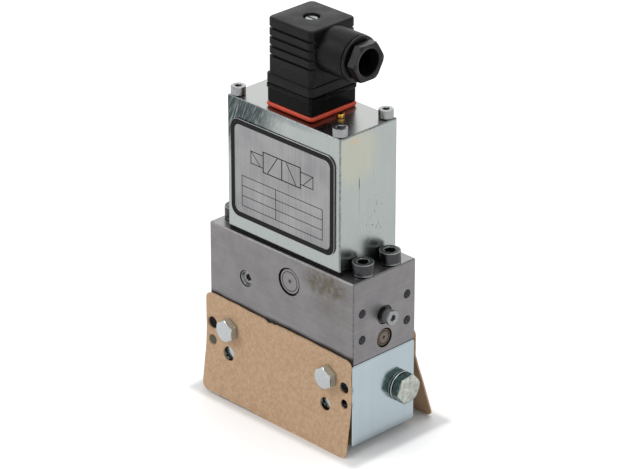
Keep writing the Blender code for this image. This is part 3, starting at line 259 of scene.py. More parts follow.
def hexagon(turn=0.0, limit=2.0):
    """Hexagon of half-width 1: radius = 1 / cos(angle from the nearest flat's middle), at most limit."""
    offset = (ANGLES - turn + math.pi / 6) % (math.pi / 3) - math.pi / 6
    return ROUND * np.minimum(1 / np.cos(offset), limit)[:, None]


def driver_slot(aspect):
    """Rectangle of half-length 1: the radius along a spoke is the distance to the nearer of its two sides."""
    reach = 1 / np.maximum(np.abs(ROUND[:, 0]), NEARLY_ZERO)
    width = aspect / np.maximum(np.abs(ROUND[:, 1]), NEARLY_ZERO)
    return ROUND * np.minimum(reach, width)[:, None]


def rounded_box(half_x, half_y, corner):
    """Rounded rectangle: each quarter of the points runs round a corner; straight sides join the arcs."""
    quarter = np.arange(SPOKES) // QUARTER
    turn = (quarter + (np.arange(SPOKES) % QUARTER) / (QUARTER - 1)) * math.pi / 2
    centre_x = np.array((1, -1, -1, 1))[quarter] * (half_x - corner)
    centre_y = np.array((1, 1, -1, -1))[quarter] * (half_y - corner)
    return np.column_stack((centre_x + corner * np.cos(turn), centre_y + corner * np.sin(turn)))


def square(half, corner):
    """Rounded square."""
    return rounded_box(half, half, corner)


def stack(stations):
    """Rings from (outline, size, height): each outline times its size, lifted to its height."""
    return np.stack([np.column_stack((outline * size, np.full(SPOKES, height)))
                     for outline, size, height in stations])


def oriented(local, origin, axis):
    """Points whose own z runs along the axis: origin + x * side + y * top + z * axis."""
    axis = np.array(axis, float)
    side = np.cross(UP, axis) if abs(axis[2]) < 0.5 else np.array((1.0, 0.0, 0.0))
    top = np.cross(axis, side)
    return np.array(origin) + local[..., :1] * side + local[..., 1:2] * top + local[..., 2:] * axis


def skin(rings, closed=False):
    """Points and faces of a skin over rings: quads join neighbours; caps or the first ring close the ends."""
    count, spokes = rings.shape[:2]
    index = np.arange(count * spokes).reshape(count, spokes)
    low = index if closed else index[:-1]
    high = np.roll(index, -1, axis=0) if closed else index[1:]
    quads = np.stack((low, np.roll(low, -1, 1), np.roll(high, -1, 1), high), axis=-1).reshape(-1, 4)
    faces = quads.tolist()
    if not closed:
        faces += [index[0, ::-1].tolist(), index[-1].tolist()]
    return rings.reshape(-1, 3), faces


def add_piece(name, skins, finish):
    """One object at the origin from one or more skins, with normals outwards and sharp edges marked."""
    offset = 0
    points = []
    faces = []
    for skin_points, skin_faces in skins:
        points.append(skin_points)
        faces += [[corner + offset for corner in face] for face in skin_faces]
        offset += len(skin_points)
    mesh = bpy.data.meshes.new(name)
    mesh.from_pydata(np.concatenate(points).tolist(), [], faces)
    turn_outwards(mesh)
    smooth(mesh)
    mesh.materials.append(finish)
    piece = bpy.data.objects.new(name, mesh)
    bpy.context.scene.collection.objects.link(piece)
    return piece


def paint_bands(piece, bands, finish):
    """Second finish on some bands of a skin: a band holds one face per spoke, in the order of the rings."""
    piece.data.materials.append(finish)
    index = np.zeros(len(piece.data.polygons), np.int32)
    spokes = np.arange(SPOKES)
    index[(np.array(bands)[:, None] * SPOKES + spokes).ravel()] = 1
    piece.data.polygons.foreach_set("material_index", index)


def turn_outwards(mesh):
    """Points every face away from the closed shape that it bounds."""
    bm = bmesh.new()
    bm.from_mesh(mesh)
    bmesh.ops.recalc_face_normals(bm, faces=bm.faces[:])
    bm.to_mesh(mesh)
    bm.free()


def smooth(mesh):
    """Smooth shading, apart from sharp edges."""
    mesh.shade_smooth()
    mesh.set_sharp_from_angle(angle=SHARP_ANGLE)


def stand_for(piece, body, *nodes):
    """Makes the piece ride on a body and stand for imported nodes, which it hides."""
    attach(piece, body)
    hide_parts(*nodes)


def add_finished(node, skins, finish, body="valve", bands=(), band_finish=None):
    """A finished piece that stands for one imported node, with a second finish on some of its bands."""
    piece = add_piece(f"{node}_finished", skins, finish_of(finish))
    if band_finish:
        paint_bands(piece, bands, finish_of(band_finish))
    stand_for(piece, body, node)
    return piece


def add_detail(name, skins, finish):
    """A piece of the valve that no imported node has."""
    piece = add_piece(name, skins, finish_of(finish))
    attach(piece, "valve")


def fused(piece, other, operation):
    """Joins the piece with another or cuts it, by an exact boolean made final; the other is removed."""
    step = piece.modifiers.new(operation.lower(), "BOOLEAN")
    step.operation = operation
    step.solver = "EXACT"
    step.object = other
    bpy.context.view_layer.update()
    shape = piece.evaluated_get(bpy.context.evaluated_depsgraph_get())
    mesh = bpy.data.meshes.new_from_object(shape)
    mesh.name = piece.name
    piece.modifiers.clear()
    old = piece.data
    piece.data = mesh
    bpy.data.meshes.remove(old)
    bpy.data.objects.remove(other)
    smooth(mesh)


class Graph:
    """A node tree being built. Inputs are values or other nodes' sockets."""

    def __init__(self, tree):
        self.tree = tree

    def put(self, socket, value):
        """Links a socket, or sets a value; a colour of three parts gets its alpha."""
        if isinstance(value, bpy.types.NodeSocket):
            self.tree.links.new(value, socket)
        elif socket.type == "RGBA":
            socket.default_value = (*tuple(value)[:3], 1.0)
        else:
            socket.default_value = value

    def node(self, kind, inputs=None, **settings):
        """Adds a node with its settings and inputs."""
        node = self.tree.nodes.new("ShaderNode" + kind)
        for name, value in settings.items():
            setattr(node, name, value)
        for name, value in (inputs or {}).items():
            self.put(node.inputs[name], value)
        return node

    def math(self, operation, first, second=0.0):
        """Math on two values."""
        return self.node("Math", {0: first, 1: second}, operation=operation).outputs[0]

    def vector(self, operation, first, second=(0.0, 0.0, 0.0)):
        """Math on two vectors, with a vector result."""
        return self.node("VectorMath", {0: first, 1: second}, operation=operation).outputs[0]

    def times(self, first, second):
        """Product of two values."""
        return self.math("MULTIPLY", first, second)

    def plus(self, first, second):
        """Sum of two values."""
        return self.math("ADD", first, second)

    def most(self, first, second):
        """The larger of two values."""
        return self.math("MAXIMUM", first, second)

    def distance(self, vector):
        """Length of a vector."""
        return self.node("VectorMath", {0: vector}, operation="LENGTH").outputs["Value"]

    def mix(self, share, first, second):
        """Colour between two colours."""
        inputs = {0: share, 6: first, 7: second}
        return self.node("Mix", inputs, data_type="RGBA").outputs[2]

    def stain(self, tint, mask, shade, share):
        """A tint turned towards a shade, by a share of a mask."""
        return self.mix(self.times(mask, share), tint, shade)

    def remap(self, value, low, high, first=0.0, last=1.0):
        """Smooth step of a value from low..high to first..last."""
        inputs = {"Value": value, "From Min": low, "From Max": high, "To Min": first, "To Max": last}
        return self.node("MapRange", inputs, interpolation_type="SMOOTHSTEP").outputs["Result"]

    def noise(self, vector, scale, detail=2.0, roughness=0.5):
        """Noise value, about 0.5 on average."""
        inputs = {"Vector": vector, "Scale": scale, "Detail": detail, "Roughness": roughness}
        return self.node("TexNoise", inputs).outputs["Fac"]

    def group(self, name, output, **inputs):
        """A shared effect, by its group's name, with the inputs' spaces written as underscores."""
        node = self.tree.nodes.new("ShaderNodeGroup")
        node.node_tree = bpy.data.node_groups[name]
        for key, value in inputs.items():
            self.put(node.inputs[key.replace("_", " ")], value)
        return node.outputs[output]

    def place(self):
        """Position on the piece, in metres."""
        return self.node("TexCoord").outputs["Object"]


def new_effect(name, inputs, output):
    """An empty node group with typed inputs and one value output; gives its graph, inputs and output node."""
    tree = bpy.data.node_groups.new(name, "ShaderNodeTree")
    for label, kind in inputs:
        tree.interface.new_socket(label, in_out="INPUT", socket_type="NodeSocket" + kind)
    tree.interface.new_socket(output, in_out="OUTPUT", socket_type="NodeSocketFloat")
    graph = Graph(tree)
    source = tree.nodes.new("NodeGroupInput").outputs
    sink = tree.nodes.new("NodeGroupOutput")
    return graph, source, sink


def effect_brushed_lines():
    """Brushing: noise on the position times a stretch; lines run along the axis with the least stretch."""
    inputs = (("Vector", "Vector"), ("Stretch", "Vector"), ("Contrast", "Float"))
    graph, source, sink = new_effect("brushed_lines", inputs, "Lines")
    spread = graph.vector("MULTIPLY", source["Vector"], source["Stretch"])
    lines = graph.noise(spread, 1.0, 5.0, 0.62)
    centred = graph.math("SUBTRACT", lines, 0.5)
    raised = graph.plus(graph.times(centred, source["Contrast"]), 0.5)
    graph.put(sink.inputs[0], graph.node("Clamp", {0: raised}).outputs[0])


def effect_edge_wear_and_shade():
    """Mask of a box's edges, for rubbed wear and for painted shade.

    Near an edge, the middle one of the depths below its pairs of faces is small.
    """
    inputs = (("Vector", "Vector"), ("Centre", "Vector"), ("Half Size", "Vector"), ("Width", "Float"))
    graph, source, sink = new_effect("edge_rub", inputs, "Mask")
    away = graph.vector("ABSOLUTE", graph.vector("SUBTRACT", source["Vector"], source["Centre"]))
    depth = graph.vector("SUBTRACT", source["Half Size"], away)
    x, y, z = graph.node("SeparateXYZ", {0: depth}).outputs
    lower = graph.math("MINIMUM", x, y)
    upper = graph.most(x, y)
    middle = graph.most(lower, graph.math("MINIMUM", upper, z))
    ragged = graph.times(graph.noise(source["Vector"], 900.0, 3.0), source["Width"])
    distance = graph.math("DIVIDE", graph.plus(middle, ragged), source["Width"])
    graph.put(sink.inputs[0], graph.remap(distance, 0.4, 1.4, 1.0, 0.0))


def effect_soft_patch():
    """Patch with a ragged soft edge: the distance from a centre over radii, disturbed by noise."""
    inputs = (("Vector", "Vector"), ("Centre", "Vector"), ("Radii", "Vector"), ("Ragged", "Float"))
    graph, source, sink = new_effect("soft_patch", inputs, "Mask")
    apart = graph.vector("SUBTRACT", source["Vector"], source["Centre"])
    distance = graph.distance(graph.vector("DIVIDE", apart, source["Radii"]))
    noise = graph.math("SUBTRACT", graph.noise(source["Vector"], 190.0, 4.0), 0.5)
    disturbed = graph.plus(distance, graph.times(noise, source["Ragged"]))
    graph.put(sink.inputs[0], graph.remap(disturbed, 0.45, 1.05, 1.0, 0.0))


def effect_fine_specks():
    """Specks: the peaks of fine noise above a level."""
    inputs = (("Vector", "Vector"), ("Scale", "Float"), ("Level", "Float"))
    graph, source, sink = new_effect("fine_specks", inputs, "Mask")
    noise = graph.noise(source["Vector"], source["Scale"], 1.0)
    above = graph.math("SUBTRACT", noise, source["Level"])
    graph.put(sink.inputs[0], graph.remap(above, 0.0, 0.04))


def effect_axis_ring():
    """Ring round an axis: smooth band of the distance from a centre, along two of the three axes."""
    vectors = (("Vector", "Vector"), ("Centre", "Vector"), ("Across", "Vector"))
    inputs = (*vectors, ("Inner", "Float"), ("Outer", "Float"))
    graph, source, sink = new_effect("axis_ring", inputs, "Mask")
    apart = graph.vector("SUBTRACT", source["Vector"], source["Centre"])
    distance = graph.distance(graph.vector("MULTIPLY", apart, source["Across"]))
    blur = 0.3 * MM
    rise = graph.remap(graph.math("SUBTRACT", distance, source["Inner"]), -blur, blur)
    fall = graph.remap(graph.math("SUBTRACT", distance, source["Outer"]), -blur, blur, 1.0, 0.0)
    graph.put(sink.inputs[0], graph.times(rise, fall))


EFFECTS = (effect_brushed_lines, effect_edge_wear_and_shade, effect_soft_patch, effect_fine_specks, effect_axis_ring)


def start_material(name):
    """A new material with an empty node tree; gives the material and its graph."""
    material = bpy.data.materials.new(name)
    material.use_nodes = True
    material.node_tree.nodes.clear()
    return material, Graph(material.node_tree)


def close_material(graph, inputs):
    """Adds the Principled shader with its inputs and links it to the output."""
    shader = graph.node("BsdfPrincipled", inputs)
    graph.node("OutputMaterial", {"Surface": shader.outputs[0]})


def bump(graph, height, depth, strength):
    """Normal from a height of 0..1 that stands for the depth in metres."""
    return graph.node("Bump", {"Height": height, "Distance": depth, "Strength": strength}).outputs[0]


def scaled(shade, factor):
    """A colour times a factor, at most white."""
    return tuple(min(1.0, part * factor) for part in shade)


def patch(graph, place, centre, radii, ragged):
    """Mask of one ragged patch, with its centre and radii in millimetres."""
    centre = tuple(part * MM for part in centre)
    radii = tuple(part * MM for part in radii)
    return graph.group("soft_patch", "Mask", Vector=place, Centre=centre, Radii=radii, Ragged=ragged)


def edges_of(graph, place, node, width):
    """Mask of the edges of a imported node's box."""
    low, high, centre = span(node)
    half = (high - low) / 2
    return graph.group("edge_rub", "Mask", Vector=place, Centre=centre, Half_Size=half, Width=width)


def ring_mask(graph, place, node, across, inner, outer):
    """Mask of a ring round a node's axis, between two shares of its radius."""
    low, high, centre = span(node)
    radius = (high - low)[2] / 2
    return graph.group("axis_ring", "Mask", Vector=place, Centre=centre, Across=across, Inner=inner * radius,
                       Outer=outer * radius)


def block_material(name, node, light, shade, stretch, contrast, roughness, wear, marks):
    """Brushed metal of a block: streaks of two tones, clouds, specks, rubbed edges and its own marks."""
    material, graph = start_material(name)
    place = graph.place()
    lines = graph.group("brushed_lines", "Lines", Vector=place, Stretch=stretch, Contrast=contrast)
    clouds = graph.remap(graph.noise(place, 45.0, 3.0), 0.35, 0.65)
    tint = graph.mix(lines, tuple(shade), tuple(light))
    tint = graph.stain(tint, clouds, light, 0.3)
    specks = graph.group("fine_specks", "Mask", Vector=place, Scale=700.0, Level=0.72)
    tint = graph.stain(tint, specks, scaled(shade, 0.35), 0.2)
    tint = graph.stain(tint, edges_of(graph, place, node, 0.6 * MM), scaled(light, 1.3), wear)
    rough = graph.remap(lines, 0.0, 1.0, roughness + MATT_SWING, roughness - GLOSS_SWING)
    tint, rough = marks(graph, place, tint, rough)
    height = graph.math("SUBTRACT", graph.times(lines, 0.3), specks)
    normal = bump(graph, height, 0.012 * MM, 0.4)
    close_material(graph, {"Base Color": tint, "Metallic": 1.0, "Roughness": rough, "Normal": normal})
    return material


def card_gap_shadow(graph, place):
    """Mask of a painted shadow on the valve body's front along the front card's top edge, which leans."""
    low, high, _ = span("front_card")
    lean = bpy.context.scene.valve_shape.card_tilt / (high - low)[0]
    front = span("valve_body")[0][1]
    x, y, z = graph.node("SeparateXYZ", {0: place}).outputs
    level = graph.plus(z, graph.times(x, lean))
    wander = graph.times(graph.noise(place, 70.0, 2.0), 2.6 * MM)
    level = graph.math("SUBTRACT", level, wander)
    line = graph.remap(level, high[2] - 1.2 * MM, high[2] + 0.9 * MM, 1.0, 0.0)
    face = graph.remap(y, front + 0.2 * MM, front + 0.6 * MM, 1.0, 0.0)
    return graph.times(graph.times(line, face), 0.85)


def body_marks(graph, place, tint, rough):
    """Valve body's marks: painted shade on its edges, smears, and dried oil with specks on the right of the
    front.

    The oil is a thin layer with a fainter one below it. A painted shadow lies along the front card's top edge.
    """
    # Painted dark reflection on the body's edge chamfers, which also hides their highlights.
    tint = graph.stain(tint, edges_of(graph, place, "valve_body", 0.9 * MM), tone(64, 62, 62), 0.85)
    smears = graph.remap(graph.noise(place, 110.0, 5.0, 0.6), 0.35, 0.65, 0.0, 0.3)
    tint = graph.mix(smears, tint, tone(102, 101, 104))
    film_and_reflection = patch(graph, place, (29, -20, 76), (18, 4, 8), 0.5)
    below = patch(graph, place, (34, -20, 66), (15, 4, 11), 0.6)
    broken = graph.remap(graph.noise(place, 420.0, 5.0, 0.65), 0.36, 0.64, 0.3, 1.0)
    cover = graph.most(film_and_reflection, graph.times(below, 0.35))
    oil = graph.times(graph.times(cover, broken), 0.85)
    tint = graph.mix(oil, tint, bpy.context.scene.valve_finish.stain)
    specks = graph.group("fine_specks", "Mask", Vector=place, Scale=900.0, Level=0.64)
    tint = graph.stain(tint, graph.times(specks, film_and_reflection), tone(74, 68, 62), 0.45)
    # Painted shadow of the gap behind the front card's top edge, which stands off the body.
    grime_and_shadow = card_gap_shadow(graph, place)
    tint = graph.mix(grime_and_shadow, tint, tone(38, 34, 34))
    return tint, graph.plus(rough, graph.times(graph.most(oil, grime_and_shadow), 0.2))


def housing_marks(graph, place, tint, rough):
    """Housing's marks: a painted dark reflection crossed by scratches at the front's upper left, and a warm
    tint on the right end.

    The right end also has a line, a spot and pits. The top has painted shade, a little greyer than the sides,
    and is rougher, with a painted dark reflection of the connector in front of it, where it is smoother.
    """
    # Painted dark reflection at the front's upper left, crossed by paler scratches.
    film_and_reflection = patch(graph, place, (-33, -18, 147), (34, 3, 30), 0.2)
    rotation = (0.0, math.radians(68), 0.0)
    turned_place = graph.node("Mapping", {"Vector": place, "Rotation": rotation}).outputs[0]
    scratch = graph.group("brushed_lines", "Lines", Vector=turned_place, Stretch=(110.0, 110.0, 1300.0),
                          Contrast=2.2)
    tint = graph.stain(tint, film_and_reflection, tone(60, 69, 71), graph.remap(scratch, 0.45, 0.8, 1.0, 0.45))
    warm = patch(graph, place, (36, -8, 138), (2, 17, 18), 0.5)
    tint = graph.stain(tint, warm, tone(190, 184, 150), 0.3)
    orange = patch(graph, place, (36, -9.3, 145.5), (2, 4.5, 2.2), 0.6)
    tint = graph.stain(tint, orange, tone(196, 160, 122), 0.3)
    line = patch(graph, place, (36, -5.9, 117), (2, 0.3, 13), 0.1)
    spot = patch(graph, place, (36, -5.9, 124), (2, 0.4, 4), 0.5)
    tint = graph.mix(graph.most(graph.times(line, 0.25), graph.times(spot, 0.8)), tint, tone(70, 70, 68))
    pits = graph.group("fine_specks", "Mask", Vector=place, Scale=620.0, Level=0.66)
    worn = patch(graph, place, (36, 4, 102), (2, 12, 16), 0.5)
    tint = graph.stain(tint, graph.times(pits, worn), tone(104, 104, 98), 0.5)
    # Painted shade: the top gets a greyer tint than the sides because of how the light falls on it.
    roof = span("solenoid_housing")[1][2]
    height = graph.node("SeparateXYZ", {0: place}).outputs[2]
    top = graph.remap(height, roof - 0.25 * MM, roof - 0.1 * MM)
    tint = graph.mix(top, tint, tone(146, 148, 146))
    # Painted dark reflection on the housing's edges, which also hides the lamps' highlights there.
    tint = graph.stain(tint, edges_of(graph, place, "solenoid_housing", 1.2 * MM), tone(74, 77, 76), 0.85)
    # Painted dark reflection of the connector on the top in front of it, where the top is also smoother.
    connector_reflection = patch(graph, place, (5, -13, 147.7), (26, 7, 3), 0.5)
    tint = graph.stain(tint, connector_reflection, tone(70, 80, 88), 0.5)
    dull = graph.remap(connector_reflection, 0.0, 1.0, 0.03, -0.12)
    return tint, graph.plus(rough, graph.times(top, dull))


def port_hole_shade(graph, place, tint, rough):
    """Painted shade on the port block's front, behind the outer holes at the front card's right end."""
    # Painted shade, seen through the card's holes, where the card shades the block's face.
    upper = patch(graph, place, (43.2, -20, 29.2), (4.2, 2, 4.2), 0.1)
    lower = patch(graph, place, (43.6, -20, 21.2), (3.6, 2, 3.6), 0.1)
    tint = graph.mix(upper, tint, tone(30, 27, 26))
    tint = graph.mix(lower, tint, tone(62, 56, 50))
    return tint, graph.plus(rough, graph.times(graph.most(upper, lower), 0.4))


def housing_material(finish):
    """Bright plate of the solenoid housing, brushed upright."""
    return block_material("housing_plate", "solenoid_housing", finish.zinc, finish.zinc_shade,
                          (2600.0, 2600.0, 26.0), 1.1, 0.24, 0.05, housing_marks)


def body_material(finish):
    """Ground steel of the valve body, ground lengthways."""
    return block_material("body_steel", "valve_body", finish.ground, finish.ground_shade,
                          (30.0, 30.0, 3200.0), 1.2, 0.34, 0.0, body_marks)


def port_material(finish):
    """Blue zinc of the port block, in upright bands."""
    return block_material("port_zinc", "port_block", finish.blue_zinc, finish.blue_shade,
                          (420.0, 420.0, 9.0), 0.6, 0.15, 0.3, port_hole_shade)


def metal_material(name, light, roughness, grain=1100.0, grime_and_shadow=0.1, marks=None):
    """Small plated or turned metal parts: fine mottling, dark specks and a slightly uneven gloss."""
    material, graph = start_material(name)
    place = graph.place()
    mottle = graph.noise(place, grain, 3.0)
    tint = graph.mix(graph.remap(mottle, 0.3, 0.62), scaled(light, 0.88), light)
    specks = graph.group("fine_specks", "Mask", Vector=place, Scale=1300.0, Level=0.66)
    tint = graph.stain(tint, specks, scaled(light, 0.2), grime_and_shadow)
    if marks:
        tint = marks(graph, place, tint)
    rough = graph.remap(mottle, 0.3, 0.7, roughness + MATT_SWING, roughness - GLOSS_SWING)
    normal = bump(graph, mottle, 0.008 * MM, 0.4)
    close_material(graph, {"Base Color": tint, "Metallic": 1.0, "Roughness": rough, "Normal": normal})
    return material


def mottled(graph, place, tint, dark, pale):
    """Uneven zinc: dark and pale patches where a coarse noise is low and high."""
    coarse = graph.noise(place, 520.0, 4.0, 0.6)
    tint = graph.mix(graph.remap(coarse, 0.34, 0.48, 0.55, 0.0), tint, dark)
    return graph.mix(graph.remap(coarse, 0.54, 0.68, 0.0, 0.7), tint, pale)


def plug_face_marks(graph, place, tint):
    """Mottling of the hexagon plug's face."""
    return mottled(graph, place, tint, tone(122, 126, 118), tone(212, 214, 208))


def plug_side_marks(graph, place, tint):
    """Mottling of the hexagon plug's sides."""
    return mottled(graph, place, tint, tone(44, 54, 54), tone(128, 148, 138))


def turned_grooves(graph, place, tint, node, across, shade):
    """Darker colour in a disc plug's two grooves and in its centre mark."""
    outer = ring_mask(graph, place, node, across, 0.9, 1.2)
    inner = ring_mask(graph, place, node, across, 0.7, 0.75)
    middle = ring_mask(graph, place, node, across, -1.0, 0.13)
    darkening = graph.most(outer, graph.most(graph.times(inner, 0.8), middle))
    return graph.stain(tint, darkening, shade, 0.85)


def gallery_marks(graph, place, tint):
    """Rust over the gallery plug's rim, and darker grooves."""
    ring = ring_mask(graph, place, "gallery_plug", (0, 1, 1), 0.55, 1.0)
    broken = graph.remap(graph.noise(place, 900.0, 4.0), 0.3, 0.6, 0.3, 0.9)
    tint = graph.stain(tint, ring, bpy.context.scene.valve_finish.rust, broken)
    return turned_grooves(graph, place, tint, "gallery_plug", (0, 1, 1), tone(48, 38, 32))


def core_marks(graph, place, tint):
    """Darker colour in the core plug's grooves."""
    return turned_grooves(graph, place, tint, "front_core_plug", (1, 0, 1), tone(44, 40, 40))


def plastic_material(name, light, roughness, grain, depth, specular):
    """Moulded plastic or rubber: fine grain in the surface, faint cloudy tone and pale dust."""
    material, graph = start_material(name)
    place = graph.place()
    clouds = graph.noise(place, 120.0, 3.0)
    tint = graph.mix(graph.remap(clouds, 0.3, 0.7), scaled(light, 0.8), light)
    dust = graph.group("fine_specks", "Mask", Vector=place, Scale=1100.0, Level=0.71)
    tint = graph.stain(tint, dust, tone(150, 150, 148), 0.12)
    rough = graph.remap(clouds, 0.3, 0.7, roughness - 0.05, roughness + 0.06)
    normal = bump(graph, graph.noise(place, grain, 2.0), depth * MM, 0.7)
    inputs = {"Base Color": tint, "Roughness": rough, "Normal": normal, "Specular IOR Level": specular}
    close_material(graph, inputs)
    return material


def kraft_material(finish):
    """Kraft board: long and short fibres, two grains, clouds and specks; two shallow holes have floors with
    painted shade.

    The rear card has painted shade, darker than the front one.
    """
    material, graph = start_material("kraft_board")
    place = graph.place()
    fibres = graph.group("brushed_lines", "Lines", Vector=place, Stretch=(420.0, 420.0, 1900.0), Contrast=2.0)
    short = graph.noise(place, 2300.0, 4.0, 0.6)
    tint = graph.stain(finish.kraft, fibres, finish.kraft_shade, 0.35)
    tint = graph.mix(graph.remap(short, 0.5, 0.75, 0.0, 0.4), tint, finish.kraft_shade)
    grain = graph.remap(graph.noise(place, 760.0, 3.0, 0.7), 0.3, 0.7)
    tint = graph.stain(tint, grain, tone(214, 186, 156), 0.5)
    clouds = graph.remap(graph.noise(place, 60.0, 4.0), 0.3, 0.7)
    tint = graph.stain(tint, clouds, tone(208, 172, 138), 0.2)
    specks = graph.group("fine_specks", "Mask", Vector=place, Scale=1500.0, Level=0.68)
    tint = graph.stain(tint, specks, tone(106, 76, 52), 0.5)
    coarse = graph.remap(graph.noise(place, 480.0, 4.0, 0.7), 0.34, 0.66)
    tint = graph.stain(tint, coarse, tone(172, 139, 109), 0.5)
    # Painted shade: the rear card is darkened for the shadow it stands in.
    depth = graph.node("SeparateXYZ", {0: place}).outputs[1]
    front = graph.remap(depth, -5 * MM, 5 * MM, 1.0, 0.0)
    tint = graph.mix(graph.remap(front, 0.0, 1.0, 0.4, 0.0), tint, tone(120, 88, 66))
    # Painted shade on the floors of the two shallow holes: dark in the upper one, grey in the lower one.
    for (x, z, radius), darkening in zip(VALVE_OT_cards.shallow_holes(), (tone(16, 13, 12), tone(92, 92, 82))):
        floor = graph.group("axis_ring", "Mask", Vector=place, Centre=(x, 0, z), Across=(1, 0, 1), Inner=-MM,
                            Outer=radius - 0.3 * MM)
        tint = graph.stain(tint, floor, darkening, front)
    normal = bump(graph, graph.plus(graph.times(fibres, 0.4), short), 0.05 * MM, 0.8)
    inputs = {"Base Color": tint, "Roughness": 0.88, "Normal": normal, "Specular IOR Level": 0.2}
    close_material(graph, inputs)
    return material


def plate_material(finish):
    """Brushed aluminium, with upright brushing."""
    material, graph = start_material("plate_metal")
    place = graph.place()
    lines = graph.group("brushed_lines", "Lines", Vector=place, Stretch=(2200.0, 2200.0, 22.0), Contrast=2.4)
    tint = graph.mix(lines, scaled(finish.plate, 0.72), finish.plate)
    clouds = graph.remap(graph.noise(place, 50.0, 3.0), 0.3, 0.7)
    tint = graph.stain(tint, clouds, tone(214, 214, 210), 0.15)
    rough = graph.remap(lines, 0.0, 1.0, 0.42, 0.28)
    normal = bump(graph, lines, 0.01 * MM, 0.6)
    close_material(graph, {"Base Color": tint, "Metallic": 1.0, "Roughness": rough, "Normal": normal})
    return material


# Finish: material, colour, roughness, then grain, grime and marks where they differ from the usual.
METALS = {
    "bright_steel": ("bright_steel", "bright", 0.22),
    "dark_steel": ("dark_steel", "dark", 0.32),
    "screw_steel": ("screw_steel", "screw", 0.34),
    "worn_steel": ("worn_steel", "worn", 0.3),
    "hole_steel": ("hole_steel", "hole", 0.3),
    "bolt_sides": ("bolt_sides", "bolt_side", 0.5),
    "brass": ("turned_brass", "brass", 0.24),
    "plug_zinc": ("plug_zinc", "green_zinc", 0.3, 700.0, 0.3, plug_face_marks),
    # The plug's sides carry a painted dark reflection.
    "plug_sides": ("plug_sides", "green_dark", 0.22, 1100.0, 0.1, plug_side_marks),
    "gallery_steel": ("gallery_steel", "gallery", 0.36, 1100.0, 0.1, gallery_marks),
    "core_steel": ("core_steel", "core", 0.34, 1100.0, 0.1, core_marks),
}

# Finish: material, colour, roughness, grain, the grain's depth in millimetres, specular level.
PLASTICS = {
    "black_plastic": ("hood_plastic", "hood", 0.46, 2600.0, 0.03, 0.15),
    "gland_plastic": ("gland_plastic", "hood", 0.26, 1500.0, 0.015, 0.22),
    "gloss_plastic": ("insert_plastic", "insert", 0.2, 900.0, 0.01, 0.06),
    "black_rubber": ("black_rubber", "rubber", 0.6, 1800.0, 0.02, 0.2),
    "orange_rubber": ("gasket_rubber", "gasket", 0.45, 900.0, 0.015, 0.4),
    "coil_resin": ("coil_resin", "resin", 0.4, 700.0, 0.02, 0.45),
    "plate_ink": ("plate_ink", "ink", 0.45, 1200.0, 0.008, 0.12),
}

OWN_MATERIALS = {
    "zinc_plate": housing_material,
    "ground_steel": body_material,
    "blue_zinc": port_material,
    "kraft_card": kraft_material,
    "plate_metal": plate_material,
}
MADE = {}


def finish_of(key):
    """The material for a finish, made once."""
    if key not in MADE:
        finish = bpy.context.scene.valve_finish
        if key in OWN_MATERIALS:
            MADE[key] = OWN_MATERIALS[key](finish)
        else:
            make, table = (metal_material, METALS) if key in METALS else (plastic_material, PLASTICS)
            name, colour_name, *rest = table[key]
            MADE[key] = make(name, tuple(getattr(finish, colour_name)), *rest)
    return MADE[key]


def turned(*rows):
    """Round stations (outline, size, height) of a turned profile, from its rows of radius and height."""
    return [(ROUND, radius, height) for radius, height in rows]


def socket_hole(half, top, floor, tip_half, tip):
    """Hexagon socket's stations: straight walls down to its floor, then a blunt tip."""
    return [(hexagon(), half, top), (hexagon(), half, floor), (hexagon(), tip_half, tip)]


def chamfered(half, crown, turn, level, way, steps):
    """Hexagon stations inside a cone: a step from the crown, the radius is at most crown + step * slope."""
    return [(hexagon(turn, (crown + step * CHAMFER_SLOPE) / half), half, level + way * step)
            for step in steps]


def cap_screw(head_radius, head_height, socket, shank_radius, shank_length, edge):
    """Cap screw's rings from the tip up: shank, head with a broken edge, then down into the socket."""
    half = socket / 2
    floor = head_height * SOCKET_FLOOR
    outside = turned(
        (shank_radius - edge, -shank_length), (shank_radius, edge - shank_length), (shank_radius, 0.0),
        (head_radius - edge / 2, 0.0), (head_radius, edge / 2), (head_radius, edge * 2),
        (head_radius, head_height - edge), (head_radius - edge * 0.3, head_height - edge * 0.3),
        (head_radius - edge, head_height), (half * SOCKET_MOUTH, head_height),
    )
    return stack(outside + socket_hole(half, head_height - edge * 0.6, floor, half * 0.2, floor - half * 0.5))


def hex_head(flats, head_height, shank_radius, shank_length, edge, turn=0.0):
    """Hexagon bolt's rings: at each height the hexagon is held inside a cone that chamfers its corners."""
    half = flats / 2
    crown = half * CROWN
    lift = edge * 0.6
    below = turned((shank_radius - edge, -shank_length), (shank_radius, edge - shank_length),
                   (shank_radius, 0.0), (half * HEAD_BASE, 0.0), (half * HEAD_BASE, lift))
    side = [(hexagon(turn), half, lift)]
    cone = chamfered(half, crown, turn, head_height, -1, np.linspace(half * CHAMFER_DROP, 0.0, 7))
    return stack(below + side + cone + turned((crown * 0.8, head_height), (crown * 0.3, head_height)))


def hex_nut(flats, height, bore):
    """Nut's rings as a closed loop: up the chamfered outside, over the top and down the bore."""
    half = flats / 2
    steps = np.linspace(half * CHAMFER_DROP, 0.0, 6)
    low = chamfered(half, half * CROWN, 0.0, 0.0, 1, steps[::-1])
    high = chamfered(half, half * CROWN, 0.0, height, -1, steps)
    lead = bore * 0.12
    inside = turned((bore + lead, height), (bore, height - lead), (bore, lead), (bore + lead, 0.0))
    return stack(low + high + inside)


def washer(inner, outer, thickness, edge):
    """Flat washer's rings as a closed loop with broken outer edges."""
    return stack(turned((inner, 0.0), (outer - edge, 0.0), (outer, edge), (outer, thickness - edge),
                        (outer - edge, thickness), (inner, thickness)))


